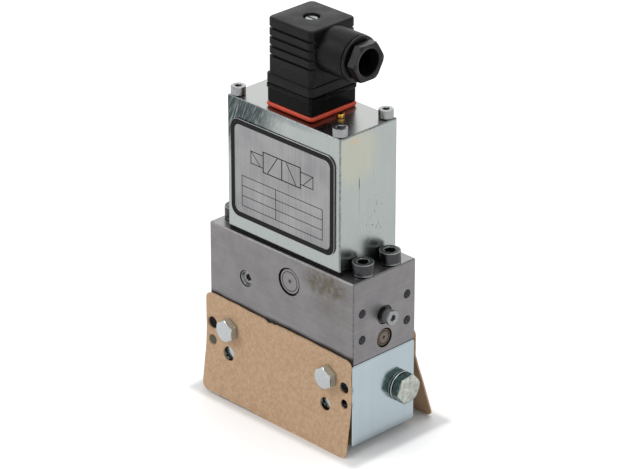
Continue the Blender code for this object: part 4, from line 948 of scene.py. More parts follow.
class VALVE_OT_dress_nodes(Operator):
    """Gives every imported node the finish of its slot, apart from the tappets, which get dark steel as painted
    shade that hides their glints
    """

    bl_idname = "valve.dress_nodes"
    bl_label = "Packed Nodes' Finishes"

    def execute(self, context):
        for node, slot in SLOT_OF.items():
            # Painted shade: dark steel on the tappets hides the lamps' glints on their ends.
            finish = "dark_steel" if node.startswith("tappet") else slot
            NODES[node].material_slots[0].material = finish_of(finish)
        return {"FINISHED"}


class VALVE_OT_cap_screws(Operator):
    """Socket head cap screws of the housing, the valve body and the two overrides"""

    bl_idname = "valve.cap_screws"
    bl_label = "Cap Screws"
    # Bands of painted highlight on the dark screws: low on the head's side, its top edge and the socket's
    # mouth.
    RIM_HIGHLIGHT_BANDS = (4, 6, 7, 9)

    def execute(self, context):
        shape = context.scene.valve_shape
        small = (shape.small_head, shape.small_socket, shape.small_shank)
        large = (shape.large_head, shape.large_socket, shape.large_shank)
        for index in range(1, 5):
            self.add(f"housing_screw_{index}", "valve", UP, small, shape.edge)
            self.add(f"body_screw_{index}", "valve", UP, large, shape.edge)
        self.add("override_screw_left", "tappet_left", LEFT, small, shape.edge)
        self.add("override_screw_right", "tappet_right", RIGHT, small, shape.edge)
        return {"FINISHED"}

    def add(self, node, body, axis, sizes, edge):
        """One screw, set by its node's box: the head's top is at the box's end along the axis."""
        head_height, socket, shank_radius = sizes
        low, high, seat = span(node)
        size = high - low
        along = int(np.argmax(np.abs(axis)))
        head_radius = max(size[(along + 1) % 3], size[(along + 2) % 3]) / 2
        top = high[along] if axis[along] > 0 else low[along]
        seat[along] = top - axis[along] * head_height
        rings = cap_screw(head_radius, head_height, socket, shank_radius, size[along] - head_height, edge)
        skins = [skin(oriented(rings, seat, axis))]
        if SLOT_OF[node] == "dark_steel":
            add_finished(node, skins, "dark_steel", body, self.RIM_HIGHLIGHT_BANDS, "worn_steel")
        else:
            add_finished(node, skins, "screw_steel", body)


class VALVE_OT_hex_fasteners(Operator):
    """Hexagon plug with its washer, and the card bolts with their nuts"""

    bl_idname = "valve.hex_fasteners"
    bl_label = "Hexagon Fasteners"
    HEAD_SIDES = (4, 5)

    def execute(self, context):
        shape = context.scene.valve_shape
        self.add_plug(shape)
        self.add_washer(shape)
        for side in SIDES:
            self.add_card_bolt(shape, side)
        return {"FINISHED"}

    def add_plug(self, shape):
        """Hexagon plug on the right end, with a painted dark reflection on its sides."""
        low, high, centre = span("port_plug")
        seat = (high[0] - shape.plug_head, centre[1], centre[2])
        turn = math.pi / 6 + shape.plug_turn
        shank_length = seat[0] - low[0]
        rings = hex_head(shape.plug_flats, shape.plug_head, shape.plug_shank, shank_length, shape.edge, turn)
        skins = [skin(oriented(rings, seat, RIGHT))]
        add_finished("port_plug", skins, "plug_zinc", bands=self.HEAD_SIDES, band_finish="plug_sides")

    def add_washer(self, shape):
        """Flat washer under the plug's head."""
        low, high, centre = span("port_washer")
        thickness = (high - low)[0]
        rings = washer(shape.plug_shank + PLAY, (high - low)[2] / 2, thickness, thickness * 0.3)
        seat = (low[0], centre[1], centre[2])
        add_finished("port_washer", [skin(oriented(rings, seat, RIGHT), True)], "bright_steel")

    def add_card_bolt(self, shape, side):
        """Hexagon bolt from the front, with dull sides, and its nut at the rear."""
        low, high, centre = span(f"card_bolt_{side}")
        flats = (high - low)[0]
        seat = (centre[0], low[1] + shape.bolt_head, centre[2])
        rings = hex_head(flats, shape.bolt_head, shape.large_shank, high[1] - seat[1], shape.edge)
        skins = [skin(oriented(rings, seat, FRONT))]
        add_finished(f"card_bolt_{side}", skins, "bright_steel", bands=self.HEAD_SIDES,
                     band_finish="bolt_sides")
        low, high, centre = span(f"card_nut_{side}")
        seat = (centre[0], low[1], centre[2])
        rings = hex_nut(flats, (high - low)[1], shape.large_shank + 0.2 * MM)
        add_finished(f"card_nut_{side}", [skin(oriented(rings, seat, REAR), True)], "bright_steel")


class VALVE_OT_body_plugs(Operator):
    """Plugs in the valve body's drilled bores, and threads and grub screws in its end holes"""

    bl_idname = "valve.body_plugs"
    bl_label = "Body Plugs"
    THREAD_STEPS = 13

    def execute(self, context):
        self.add_socket_plug()
        self.add_disc_plug("front_core_plug", FRONT, 1, "core_steel")
        self.add_disc_plug("gallery_plug", RIGHT, 0, "gallery_steel")
        self.add_end_holes(context.scene.valve_shape)
        return {"FINISHED"}

    def add_socket_plug(self):
        """Screwed plug with a hexagon socket, on the front."""
        low, high, centre = span("front_socket_plug")
        radius = (high - low)[2] / 2
        depth = (high - low)[1]
        ledge = -1.1 * MM
        outside = turned(
            (radius, -depth), (radius, -0.2 * MM), (radius * 0.94, 0.0), (radius * 0.86, 0.0),
            (radius * 0.72, ledge), (radius * 0.62, ledge),
        )
        socket = socket_hole(radius * 0.42, ledge - 0.2 * MM, -depth * 0.5, radius * 0.1, -depth * 0.58)
        seat = (centre[0], low[1], centre[2])
        skins = [skin(oriented(stack(outside + socket), seat, FRONT))]
        add_finished("front_socket_plug", skins, "worn_steel")

    def add_end_holes(self, shape):
        """Thread and grub screw of each end hole: a ring with a sawtooth bore, and a disc with a socket."""
        low, high, _ = span("valve_body")
        bore = shape.end_hole
        steps = np.arange(self.THREAD_STEPS)
        depth = steps * 0.35 * MM + 0.3 * MM
        crest = np.where(steps % 2, 0.45 * MM, 0.12 * MM)
        wall = bore - 0.02 * MM
        thread = stack(turned((wall, -depth[0]), *zip(bore - crest, -depth), (wall, -depth[-1])))
        face = -3.4 * MM
        body = turned((bore * 0.76, -5 * MM), (bore * 0.76, face - 0.3 * MM), (bore * 0.66, face),
                      (bore * 0.52, face))
        socket = socket_hole(bore * 0.42, face - 0.2 * MM, -4.4 * MM, bore * 0.1, -4.6 * MM)
        screw = stack(body + socket)
        upper = high[2] - shape.end_hole_depth
        half = shape.end_hole_y / 2
        mouths = [((x, y, z), axis) for x, axis in ((low[0], LEFT), (high[0], RIGHT)) for y in (-half, half)
                  for z in (upper, upper - shape.end_hole_z)]
        threads = [skin(oriented(thread, mouth, axis), True) for mouth, axis in mouths]
        screws = [skin(oriented(screw, mouth, axis)) for mouth, axis in mouths]
        # Painted shade in the end holes: dark steel threads and black grub screws.
        add_detail("end_hole_threads", threads, "dark_steel")
        add_detail("end_hole_screws", screws, "hole_steel")

    def add_disc_plug(self, node, axis, along, finish):
        """Pressed plug: a rim, a turned groove, a flat disc and a centre mark."""
        low, high, seat = span(node)
        radius = (high - low)[2] / 2
        depth = (high - low)[along]
        seat[along] = high[along] if axis[along] > 0 else low[along]
        groove = 0.9 * MM
        rings = stack(turned(
            (radius, -depth), (radius, -groove), (radius * 0.93, -groove), (radius * 0.9, -0.1 * MM),
            (radius * 0.88, 0.0), (radius * 0.75, 0.0), (radius * 0.735, -groove * 0.4),
            (radius * 0.71, -groove * 0.4), (radius * 0.695, 0.0), (radius * 0.16, 0.0),
            (radius * 0.13, -groove * 0.5), (radius * 0.04, -groove),
        ))
        add_finished(node, [skin(oriented(rings, seat, axis))], finish)


class VALVE_OT_return_springs(Operator):
    """Return springs of both tappets"""

    bl_idname = "valve.return_springs"
    bl_label = "Return Springs"
    TURNS = 6
    STEPS = 24
    SECTION = 10

    def execute(self, context):
        for side, way in (("left", -1), ("right", 1)):
            self.add(context.scene.valve_shape, side, way)
        return {"FINISHED"}

    def add(self, shape, side, way):
        """One spring round its tappet's axis, from its seat."""
        node = f"return_spring_{side}"
        low, high, _ = span(node)
        _, _, axis_point = span(f"tappet_{side}")
        extent = (high - low)[0]
        seat = (low[0] if way > 0 else high[0], axis_point[1], axis_point[2])
        radius = (high - low)[2] / 2 - shape.spring_wire
        rings = self.coil(radius, shape.spring_wire, extent, way) + np.array(seat)
        piece = add_finished(node, [skin(rings)], "bright_steel")
        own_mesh(piece)

    def coil(self, radius, wire, extent, way):
        """Round section round a helix, whose points are (rise, radius * cos, radius * sin) of the angle."""
        share = np.linspace(0.0, 1.0, self.TURNS * self.STEPS + 1)[:, None]
        angle = share * (2 * math.pi * self.TURNS)
        rise = extent - 2 * wire
        zero = np.zeros_like(angle)
        outward = np.hstack((zero, np.cos(angle), np.sin(angle)))
        middle = outward * radius + np.hstack((wire + share * rise, zero, zero))
        pitch = np.full_like(angle, rise / (2 * math.pi * self.TURNS))
        along = np.hstack((pitch, -radius * np.sin(angle), radius * np.cos(angle)))
        across = np.cross(along / np.linalg.norm(along, axis=1, keepdims=True), outward)
        turn = np.linspace(0.0, 2 * math.pi, self.SECTION, endpoint=False)[None, :, None]
        section = np.cos(turn) * outward[:, None] + np.sin(turn) * across[:, None]
        return (middle[:, None] + wire * section) * np.array((way, 1, 1))


class VALVE_OT_connector(Operator):
    """Plug connector: gasket, insert, hood with its cable boss, centre screw and gland nut"""

    bl_idname = "valve.connector"
    bl_label = "Plug Connector"
    GROOVES = 4
    BOSS_START = 4 * MM
    BORE_DEPTH = 13.8 * MM
    RING_LENGTH = 1.7 * MM
    # As shares of the gland nut's half-width: its collar, its chamfered crown and the chamfer's height.
    GLAND_COLLAR = 0.92
    GLAND_CROWN = 1.07
    GLAND_CHAMFER = 0.06

    def execute(self, context):
        shape = context.scene.valve_shape
        self.add_gasket(shape)
        self.add_insert(shape)
        self.add_hood(shape)
        self.add_gland_nut(shape)
        self.add_slotted_screw("connector_screw", "screw_steel", head_height=2.2 * MM, shank_radius=1.5 * MM)
        self.add_slotted_screw("earth_screw", "brass", head_height=1.6 * MM, shank_radius=1.1 * MM)
        return {"FINISHED"}

    def add_gasket(self, shape):
        """Soft gasket: rounded square rings that swell by a parabola towards the middle of its height."""
        low, high, centre = span("connector_gasket")
        half = (high - low)[0] / 2
        thick = (high[2] - low[2]) / 2
        swell = 0.45 * MM
        stations = [(square(half - swell * step * step, shape.skirt_corner), 1.0, centre[2] + thick * step)
                    for step in np.linspace(-1.0, 1.0, 11)]
        add_finished("connector_gasket", [skin(stack(stations))], "orange_rubber")

    def add_insert(self, shape):
        """Insert: rounded square rings with broken edges and a small ledge near the top."""
        low, high, _ = span("connector_insert")
        half = (high - low)[0] / 2
        body = half - 0.35 * MM
        edge = 0.3 * MM
        levels = (
            (body - edge, low[2]),
            (body, low[2] + edge),
            (body, high[2] - 2.4 * MM),
            (half - 0.1 * MM, high[2] - 2.1 * MM),
            (half, high[2] - 1.9 * MM),
            (half, high[2] - edge),
            (half - edge, high[2]),
        )
        rings = stack([(square(size, shape.skirt_corner), 1.0, level) for size, level in levels])
        add_finished("connector_insert", [skin(rings)], "gloss_plastic")

    def hood_body(self, shape, outer, base, top):
        """Hood's rings: skirt, step, grooved body with a rounded top, then the screw well."""
        side = outer - shape.hood_inset
        edge = 0.35 * MM
        skirt_top = base + shape.skirt_height
        profile = [
            (outer - edge, base, 0.0), (outer, base + edge, 0.0), (outer, skirt_top - edge, 0.0),
            (outer - edge * 0.3, skirt_top - edge * 0.3, 0.0), (outer - edge, skirt_top, 0.0),
            (side + 0.15 * MM, skirt_top + 0.1 * MM, 0.0), (side, skirt_top + 0.4 * MM, 0.0),
        ]
        half_width = shape.groove_width / 2
        floor = half_width * 0.55
        for index in reversed(range(self.GROOVES)):
            level = top - shape.groove_start - index * shape.groove_pitch
            profile += [(side, level - half_width, 0.0), (side, level - floor, 1.0),
                        (side, level + floor, 1.0), (side, level + half_width, 0.0)]
        turn = np.linspace(0.0, math.pi / 2, 6)
        inward = shape.hood_round * (1 - np.cos(turn))
        down = shape.hood_round * (1 - np.sin(turn))
        profile += [(side - part, top - drop, 0.0) for part, drop in zip(inward, down)]
        rings = stack([(self.grooved(shape, size, share), 1.0, level) for size, level, share in profile])
        seat = top - shape.well_depth
        well = shape.well_radius
        well_rings = stack(turned((well + edge, top), (well, top - edge), (well, seat), (well * 0.4, seat)))
        return np.concatenate((rings, np.roll(well_rings, -SPOKES // 8, axis=1)))

    def grooved(self, shape, half, share):
        """Rounded square drawn in by a share of the groove's depth; x is stretched to keep the right side."""
        depth = share * shape.groove_depth
        outline = square(half - depth, shape.hood_corner)
        outline[:, 0] += depth * np.clip(outline[:, 0] / (half - depth), 0.0, 1.0)
        return outline

    def add_hood(self, shape):
        """Hood joined with its cable boss, and the ring at the boss's end."""
        low, high, _ = span("connector_hood")
        rings = self.hood_body(shape, high[1], low[2], high[2])
        hood = add_piece("connector_hood_finished", [skin(rings)], finish_of("black_plastic"))
        end = high[0] - self.RING_LENGTH
        radius = shape.boss_radius
        bore = shape.gland_thread + PLAY
        profile = turned(
            (radius, self.BOSS_START), (radius, end - 0.5 * MM), (radius - 0.15 * MM, end - 0.15 * MM),
            (radius - 0.5 * MM, end), (bore, end), (bore, end - self.BORE_DEPTH),
        )
        axis_point = (0, 0, high[2] - shape.cable_drop)
        boss_skin = skin(oriented(stack(profile), axis_point, RIGHT))
        fused(hood, add_piece("cable_boss", [boss_skin], finish_of("black_plastic")), "UNION")
        stand_for(hood, "valve", "connector_hood")
        self.add_boss_ring(radius - 0.1 * MM, bore, end, high[0], axis_point)

    def add_boss_ring(self, radius, bore, start, end, axis_point):
        """Glossy ring at the boss's end: a half-round section as a closed loop round the cable's axis."""
        turn = np.linspace(-math.pi / 2, math.pi / 2, 9)
        half = (end - start) / 2 - 0.1 * MM
        middle = (start + end) / 2
        rim = zip(radius - half * (1 - np.cos(turn)), middle + half * np.sin(turn))
        rings = stack(turned(*rim, (bore, middle + half), (bore, middle - half)))
        skins = [skin(oriented(rings, axis_point, RIGHT), True)]
        add_detail("boss_ring", skins, "gland_plastic")

    def add_gland_nut(self, shape):
        """Gland nut's rings as a closed loop: thread, collar, chamfered hexagon, lip and bore."""
        low, high, centre = span("gland_nut")
        half = (high - low)[2] / 2
        out = high[0]
        head = out - shape.gland_head
        collar = head + 0.5 * MM
        crown = half * self.GLAND_CROWN
        ring = half * self.GLAND_COLLAR
        turn = math.pi / 6
        steps = np.linspace(half * self.GLAND_CHAMFER, 0.0, 6)
        bore = shape.gland_bore
        thread = shape.gland_thread
        inside = turned((thread, low[0]), (thread, head), (ring, head), (ring, collar))
        outside = chamfered(half, crown, turn, collar, 1, steps[::-1])
        outside += chamfered(half, crown, turn, out, -1, steps)
        lip = turned((bore + 0.9 * MM, out), (bore + 0.25 * MM, out - 0.25 * MM), (bore, out - 0.9 * MM),
                     (bore, low[0]))
        rings = oriented(stack(inside + outside + lip), (0, 0, centre[2]), RIGHT)
        add_finished("gland_nut", [skin(rings, True)], "gland_plastic")

    def add_slotted_screw(self, node, finish, head_height, shank_radius):
        """Cheese head screw: shank, domed head, and a driver slot let into its top."""
        low, high, centre = span(node)
        radius = (high - low)[1] / 2
        top = high[2]
        seat = top - head_height
        slot = driver_slot(0.2)
        outside = turned((shank_radius, low[2]), (shank_radius, seat), (radius, seat),
                         (radius, seat + head_height * 0.7),
                         (radius * 0.94, seat + head_height * 0.88), (radius * 0.85, top))
        inside = [(slot, radius * 0.82, top), (slot, radius * 0.82, seat + head_height * 0.55)]
        rings = stack(outside + inside) + np.array((centre[0], centre[1], 0.0))
        add_finished(node, [skin(rings)], finish)


class VALVE_OT_nameplate(Operator):
    """Nameplate with a black border, a brushed field and generic marks"""

    bl_idname = "valve.nameplate"
    bl_label = "Nameplate"

    def execute(self, context):
        shape = context.scene.valve_shape
        low, high, centre = span("nameplate")
        half_x = (high - low)[0] / 2
        half_z = (high - low)[2] / 2
        thick = (high - low)[1]
        back = (centre[0], high[1], centre[2])
        field = self.slab(half_x, half_z, shape.plate_corner, thick - 0.05 * MM, back)
        border = self.border(half_x, half_z, shape, thick, back)
        marks = self.strokes(self.marks(), centre, low[1])
        add_finished("nameplate", [field], "plate_metal")
        add_detail("nameplate_border", [border], "plate_ink")
        add_detail("nameplate_marks", [marks], "plate_ink")
        return {"FINISHED"}

    def slab(self, half_x, half_z, corner, thick, back):
        """Rounded plate with a broken front edge, standing out from its back."""
        edge = 0.12 * MM
        outline = rounded_box(half_x, half_z, corner)
        inner = rounded_box(half_x - edge, half_z - edge, corner - edge)
        rings = stack(((outline, 1.0, 0.0), (outline, 1.0, thick - edge), (inner, 1.0, thick)))
        return skin(oriented(rings, back, FRONT))

    def border(self, half_x, half_z, shape, thick, back):
        """Ink frame as a closed loop of four rings: the plate's outline, inset by a rim and by the width."""
        rim = 0.2 * MM
        width = shape.plate_border
        outer = rounded_box(half_x - rim, half_z - rim, shape.plate_corner - rim)
        inner = rounded_box(half_x - width, half_z - width, shape.plate_corner - width * 0.7)
        under = thick - 0.2 * MM
        rings = stack(((outer, 1.0, under), (outer, 1.0, thick), (inner, 1.0, thick), (inner, 1.0, under)))
        return skin(oriented(rings, back, FRONT), True)

    def marks(self):
        """Lines (x0, z0, x1, z1, width) in millimetres from the plate's centre: a sign and empty fields."""
        box = [(-12, level, 12, level, 0.5) for level in (3, 13)] + [(x, 3, x, 13, 0.5) for x in (-12, 12, 0)]
        flow = [(-9, 3.6, -3, 12.4, 0.4), (3, 12.4, 9, 3.6, 0.4)]
        coils = []
        for side in (-1, 1):
            coils += [(side * 20, level, side * 12, level, 0.4) for level in (5, 11)]
            coils += [(side * 20, 5, side * 20, 11, 0.4), (side * 19.5, 10.6, side * 14, 5.4, 0.35)]
        fields = [(-26, level, 26, level, 0.3) for level in (-3, -8, -13, -18)]
        columns = [(x, -18, x, -3, 0.3) for x in (-26, -4, 26)]
        return np.array(box + flow + coils + fields + columns, float)

    def strokes(self, marks, centre, front):
        """Each line as a thin bar: its ends pushed half a width sideways and out from the plate's face."""
        start = marks[:, :2] * MM
        end = marks[:, 2:4] * MM
        half = marks[:, 4:] * MM / 2
        way = (end - start) / np.linalg.norm(end - start, axis=1, keepdims=True)
        aside = np.column_stack((-way[:, 1], way[:, 0])) * half
        start = start - way * half
        end = end + way * half
        corners = np.stack((start - aside, end - aside, end + aside, start + aside), axis=1)
        levels = np.array((front + 0.15 * MM, front + 0.01 * MM))
        points = np.empty((len(marks), 2, 4, 3))
        points[..., 0] = corners[:, None, :, 0] + centre[0]
        points[..., 2] = corners[:, None, :, 1] + centre[2]
        points[..., 1] = levels[None, :, None]
        bar = np.array(((0, 1, 2, 3), (4, 7, 6, 5), (0, 4, 5, 1), (1, 5, 6, 2), (2, 6, 7, 3), (3, 7, 4, 0)))
        faces = bar[None] + 8 * np.arange(len(marks))[:, None, None]
        return points.reshape(-1, 3), faces.reshape(-1, 4).tolist()


class VALVE_OT_cards(Operator):
    """Kraft cards over the port faces, bent outwards below, with worn edges and punched holes"""

    bl_idname = "valve.cards"
    bl_label = "Kraft Cards"
    # Inset from the card's left (-1) or right (1) end, height and radius, in millimetres.
    SPARE_HOLES = {
        -1: ((4.2, 29.9, 3.2), (4.4, 21.2, 2.7), (15.5, 17.8, 3.6)),
        1: ((4.1, 30.3, 2.8), (3.8, 22.2, 2.3), (15.6, 18.0, 3.3)),
    }
    FLOORS = (0.3 * MM, 0.7 * MM)
    BOLT_HOLE = 3.3 * MM
    THROUGH = 60 * MM
    CORNER = 3.2 * MM
    BOW = 0.25 * MM
    BEND_POWER = 1.3
    PEEL_START = 0.88
    HOLE_TILT = 0.45
    COLUMNS = 141
    ROWS = 73

    def execute(self, context):
        shape = context.scene.valve_shape
        self.add_card(shape, "front_card", -1, shape.card_tilt, phase=3.4, peel=0.0)
        self.add_card(shape, "rear_card", 1, -0.6 * MM, phase=0.7, peel=1.0)
        self.add_blanks()
        return {"FINISHED"}

    def add_blanks(self):
        """Zinc blanks that fill the port block's holes behind the inner spare holes, just below its face."""
        low, high, centre = span("front_card")
        half = (high - low)[0] / 2
        inset, level, radius = self.SPARE_HOLES[1][-1]
        size = radius * MM - 0.35 * MM
        face = span("port_block")[0][1]
        rings = stack(turned((size, -3 * MM), (size, -0.4 * MM), (size - 0.2 * MM, -0.2 * MM)))
        places = [(centre[0] + side * (half - inset * MM) - 1.5 * MM, face, level * MM) for side in (-1, 1)]
        skins = [skin(oriented(rings, place, FRONT)) for place in places]
        add_detail("hole_blanks", skins, "blue_zinc")

    @classmethod
    def spare_holes(cls, side):
        """Places (x, z, radius) of the front card's spare holes towards one end, moved with its tilt."""
        low, high, centre = span("front_card")
        half = (high - low)[0] / 2
        drop = bpy.context.scene.valve_shape.card_tilt * side * cls.HOLE_TILT
        return [(centre[0] + side * (half - inset * MM), level * MM - drop, radius * MM)
                for inset, level, radius in cls.SPARE_HOLES[side]]

    @classmethod
    def shallow_holes(cls):
        """The left end's outer holes, which don't go through: there is no block behind all of them."""
        return cls.spare_holes(-1)[:len(cls.FLOORS)]

    def outline(self, low, high, across, down, phase):
        """Card's x and z over the grid: straight edges, rounded corners, gentle waves and two dents."""
        from_end = np.minimum(down, 1 - down) * (high[2] - low[2])
        cut = np.maximum(self.CORNER - from_end, 0.0)
        inset = self.CORNER - np.sqrt(np.maximum(self.CORNER ** 2 - cut ** 2, 0.0))
        wave = 0.16 * MM * (np.sin(9.0 * down + phase) + 0.6 * np.sin(23.0 * down + 2 * phase))
        left = low[0] + inset + np.maximum(wave, 0.0)
        right = high[0] - inset - np.maximum(-wave, 0.0)
        x = left + across * (right - left)
        ripple = sum(depth * MM * (1 + np.sin(rate * across + phase))
                     for depth, rate in ((0.15, 11.0), (0.08, 37.0)))
        dents = sum(depth * MM * np.exp(-((across - middle) / width) ** 2)
                    for depth, middle, width in ((0.9, 0.43, 0.018), (0.5, 0.47, 0.012)))
        top = high[2] - ripple - dents
        bottom = low[2] + 0.5 * ripple
        return x, top + down * (bottom - top)

    def add_card(self, shape, node, face, tilt, phase, peel):
        """One card: a grid of (across, down), bent out by a power law below the fold, with its thickness.

        At its right end a share of the bend, the peel, is a straight slope that starts at the bolts' height.
        """
        low, high, _ = span(node)
        across, down = np.meshgrid(np.linspace(0, 1, self.COLUMNS), np.linspace(0, 1, self.ROWS))
        x, z = self.outline(low, high, across, down, phase)
        inner = low[1] if face > 0 else high[1]
        flare = (high - low)[1] - shape.card_thickness
        bend = np.clip((shape.card_fold - z) / (shape.card_fold - low[2]), 0.0, 1.0)
        start = span("card_bolt_right")[2][2]
        slope = np.clip((start - z) / (start - low[2]), 0.0, 1.0)
        end = np.clip((across - self.PEEL_START) / (1 - self.PEEL_START), 0.0, 1.0)
        share = peel * end * end * (3 - 2 * end)
        bow = self.BOW * np.sin(4.0 * across + phase) * bend
        out = flare * (bend ** self.BEND_POWER * (1 - share) + slope * share)
        y = inner + face * np.clip(out + bow - self.BOW * bend, 0.0, flare)
        z = np.maximum(z - tilt * (across - 0.5), low[2])
        back = np.stack((x, y, z), axis=-1)
        front = back + np.array((0, face * shape.card_thickness, 0))
        piece = add_piece(f"{node}_finished", [self.sheet(front, back)], finish_of("kraft_card"))
        fused(piece, self.punches(face, inner), "DIFFERENCE")
        stand_for(piece, "valve", node)

    def sheet(self, front, back):
        """Closed shell between two grids: both grids' quads and a band of quads round their edges."""
        count = front.shape[0] * front.shape[1]
        index = np.arange(count).reshape(front.shape[:2])
        corners = (index[:-1, :-1], index[:-1, 1:], index[1:, 1:], index[1:, :-1])
        quads = np.stack(corners, axis=-1).reshape(-1, 4)
        rim = np.concatenate((index[0, :-1], index[:-1, -1], index[-1, :0:-1], index[:0:-1, 0]))
        beside = np.roll(rim, -1)
        band = np.column_stack((rim, beside, beside + count, rim + count))
        faces = np.concatenate((quads, quads[:, ::-1] + count, band)).tolist()
        return np.concatenate((front.reshape(-1, 3), back.reshape(-1, 3))), faces

    def punches(self, face, inner):
        """Round punches: one for the bolt at each end, and on the front the spare holes, two shallow."""
        places = []
        for side, label in zip((-1, 1), SIDES):
            _, _, bolt = span(f"card_bolt_{label}")
            places.append((bolt[0], bolt[2], self.BOLT_HOLE, self.THROUGH))
            if face < 0:
                depths = [inner - floor for floor in self.FLOORS] if side < 0 else []
                depths += [self.THROUGH] * (len(self.SPARE_HOLES[side]) - len(depths))
                places += [(*hole, depth) for hole, depth in zip(self.spare_holes(side), depths)]
        skins = [skin(oriented(stack(turned((radius, -self.THROUGH), (radius, depth))), (x, 0, z), REAR))
                 for x, z, radius, depth in places]
        return add_piece("card_punches", skins, finish_of("kraft_card"))


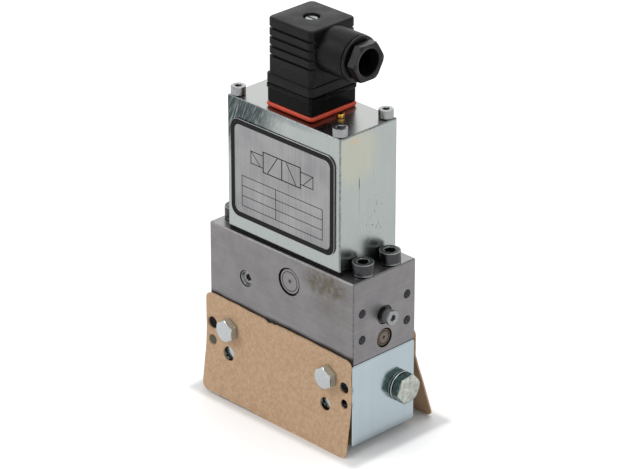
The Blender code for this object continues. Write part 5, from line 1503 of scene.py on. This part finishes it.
class VALVE_OT_stage(Operator):
    """Pale floor, soft lamps, plain world and the camera"""

    bl_idname = "valve.stage"
    bl_label = "Studio"
    WHITE = (1.0, 1.0, 1.0)
    FLOOR_REACH = 6.0
    CONTACT_WIDTH = 5.5 * MM
    FAR_GLOW = 0.6
    SENSOR = 36.0
    CLIP_START = 0.01
    LAMP_AIM = (0, 0, 0.08)
    # Each lamp's place and size, in metres.
    LAMPS = {
        "key": ((-0.75, -1.0, 1.15), 0.9),
        "fill": ((1.25, 0.15, 0.75), 0.8),
        "top": ((-0.1, 0.25, 1.5), 1.0),
        "rim": ((-1.2, 1.2, 0.8), 1.4),
    }

    def execute(self, context):
        stage = context.scene.valve_stage
        context.scene.view_settings.view_transform = "Standard"
        self.add_floor(stage)
        self.add_world(context, stage)
        for name, (place, size) in self.LAMPS.items():
            self.add_lamp(f"{name}_lamp", place, size, getattr(stage, name))
        self.add_camera(context, stage)
        return {"FINISHED"}

    def seen(self, graph):
        """1 for rays from the camera and for reflected or transmitted ones, else 0."""
        path = graph.node("LightPath").outputs
        shiny = graph.most(path["Is Glossy Ray"], path["Is Transmission Ray"])
        return graph.most(path["Is Camera Ray"], shiny)

    def add_floor(self, stage):
        """Flat square floor under the cards, a diffuse pale surface with a glow that only seen rays get.

        The glow rises from nothing at the edge of the valve's box, a painted shadow that darkens the floor
        round the valve on top of its real contact shadow.
        """
        low, high = (np.array(corner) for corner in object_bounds())
        reach = self.FLOOR_REACH
        corners = np.array(((-reach, -reach), (reach, -reach), (reach, reach), (-reach, reach)))
        points = np.column_stack((corners, np.full(4, low[2])))
        mesh = bpy.data.meshes.new("floor")
        mesh.from_pydata(points.tolist(), [], [(0, 1, 2, 3)])
        material, graph = start_material("pale_floor")
        place = graph.place()
        away = graph.vector("ABSOLUTE", graph.vector("SUBTRACT", place, (low + high) / 2))
        beyond = graph.vector("MAXIMUM", graph.vector("SUBTRACT", away, (high - low) / 2))
        # Painted shadow: the glow fades out towards the valve's box.
        near = graph.remap(graph.distance(beyond), 0.0, self.CONTACT_WIDTH)
        far = graph.remap(graph.distance(place), 0.2, 1.0, stage.floor_glow, self.FAR_GLOW)
        strength = graph.times(self.seen(graph), graph.times(near, far))
        diffuse = graph.node("BsdfDiffuse", {"Color": stage.floor})
        glow = graph.node("Emission", {"Color": self.WHITE, "Strength": strength})
        both = graph.node("AddShader", {0: diffuse.outputs[0], 1: glow.outputs[0]})
        graph.node("OutputMaterial", {"Surface": both.outputs[0]})
        mesh.materials.append(material)
        floor = bpy.data.objects.new("floor", mesh)
        bpy.context.scene.collection.objects.link(floor)
        floor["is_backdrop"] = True

    def add_world(self, context, stage):
        """White room for seen rays, and a dimmer one for the light that falls on the valve."""
        world = bpy.data.worlds.new("plain_room")
        world.use_nodes = True
        world.node_tree.nodes.clear()
        graph = Graph(world.node_tree)
        inputs = {"Value": self.seen(graph), "To Min": stage.ambient, "To Max": 1.0}
        strength = graph.node("MapRange", inputs).outputs[0]
        room = graph.node("Background", {"Color": self.WHITE, "Strength": strength})
        graph.node("OutputWorld", {"Surface": room.outputs[0]})
        context.scene.world = world

    def add_lamp(self, name, place, size, power):
        """Square soft lamp that faces the valve."""
        lamp = bpy.data.lights.new(name, "AREA")
        lamp.size = size
        lamp.energy = power
        item = bpy.data.objects.new(name, lamp)
        item.location = place
        aim = Vector(self.LAMP_AIM) - Vector(place)
        item.rotation_euler = aim.to_track_quat("-Z", "Y").to_euler()
        bpy.context.scene.collection.objects.link(item)

    def add_camera(self, context, stage):
        """Camera on a sphere round the aim point, at the photograph's azimuth and elevation."""
        camera = bpy.data.cameras.new("camera")
        camera.lens = stage.lens
        camera.sensor_width = self.SENSOR
        camera.clip_start = self.CLIP_START
        item = bpy.data.objects.new("camera", camera)
        turn = stage.azimuth
        flat = math.cos(stage.elevation)
        back = Vector((math.sin(turn) * flat, -math.cos(turn) * flat, math.sin(stage.elevation)))
        right = Vector((math.cos(turn), math.sin(turn), 0.0))
        aim = right * stage.aim_side + Vector((0, 0, stage.aim_height))
        item.location = aim + back * stage.distance
        item.rotation_euler = back.to_track_quat("Z", "Y").to_euler()
        context.scene.collection.objects.link(item)
        context.scene.camera = item


OPERATORS = (
    VALVE_OT_dress_nodes,
    VALVE_OT_cap_screws,
    VALVE_OT_hex_fasteners,
    VALVE_OT_body_plugs,
    VALVE_OT_return_springs,
    VALVE_OT_connector,
    VALVE_OT_nameplate,
    VALVE_OT_cards,
    VALVE_OT_stage,
)


class VALVE_PT_sidebar(Panel):
    """Lists the valve's pieces and their main settings"""

    bl_label = "Solenoid Valve"
    bl_space_type = "VIEW_3D"
    bl_region_type = "UI"
    bl_category = "Valve"

    def draw(self, context):
        for operator in OPERATORS:
            self.layout.operator(operator.bl_idname)
        for group in (context.scene.valve_shape, context.scene.valve_finish, context.scene.valve_stage):
            box = self.layout.box()
            for name in group.bl_rna.properties.keys():
                if name not in ("rna_type", "name"):
                    box.prop(group, name)


CLASSES = (ValveShape, ValveFinish, ValveStage, *OPERATORS, VALVE_PT_sidebar)


def register():
    """Registers the classes and hangs the settings on the scene."""
    for item in CLASSES:
        bpy.utils.register_class(item)
    bpy.types.Scene.valve_shape = PointerProperty(type=ValveShape)
    bpy.types.Scene.valve_finish = PointerProperty(type=ValveFinish)
    bpy.types.Scene.valve_stage = PointerProperty(type=ValveStage)


def unregister():
    """Takes the settings off the scene and unregisters the classes."""
    del bpy.types.Scene.valve_stage
    del bpy.types.Scene.valve_finish
    del bpy.types.Scene.valve_shape
    for item in reversed(CLASSES):
        bpy.utils.unregister_class(item)


def main():
    """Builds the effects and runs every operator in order."""
    register()
    for build in EFFECTS:
        build()
    bpy.ops.valve.dress_nodes()
    bpy.ops.valve.cap_screws()
    bpy.ops.valve.hex_fasteners()
    bpy.ops.valve.body_plugs()
    bpy.ops.valve.return_springs()
    bpy.ops.valve.connector()
    bpy.ops.valve.nameplate()
    bpy.ops.valve.cards()
    bpy.ops.valve.stage()
    bpy.context.view_layer.update()


if __name__ == "__main__":
    main()
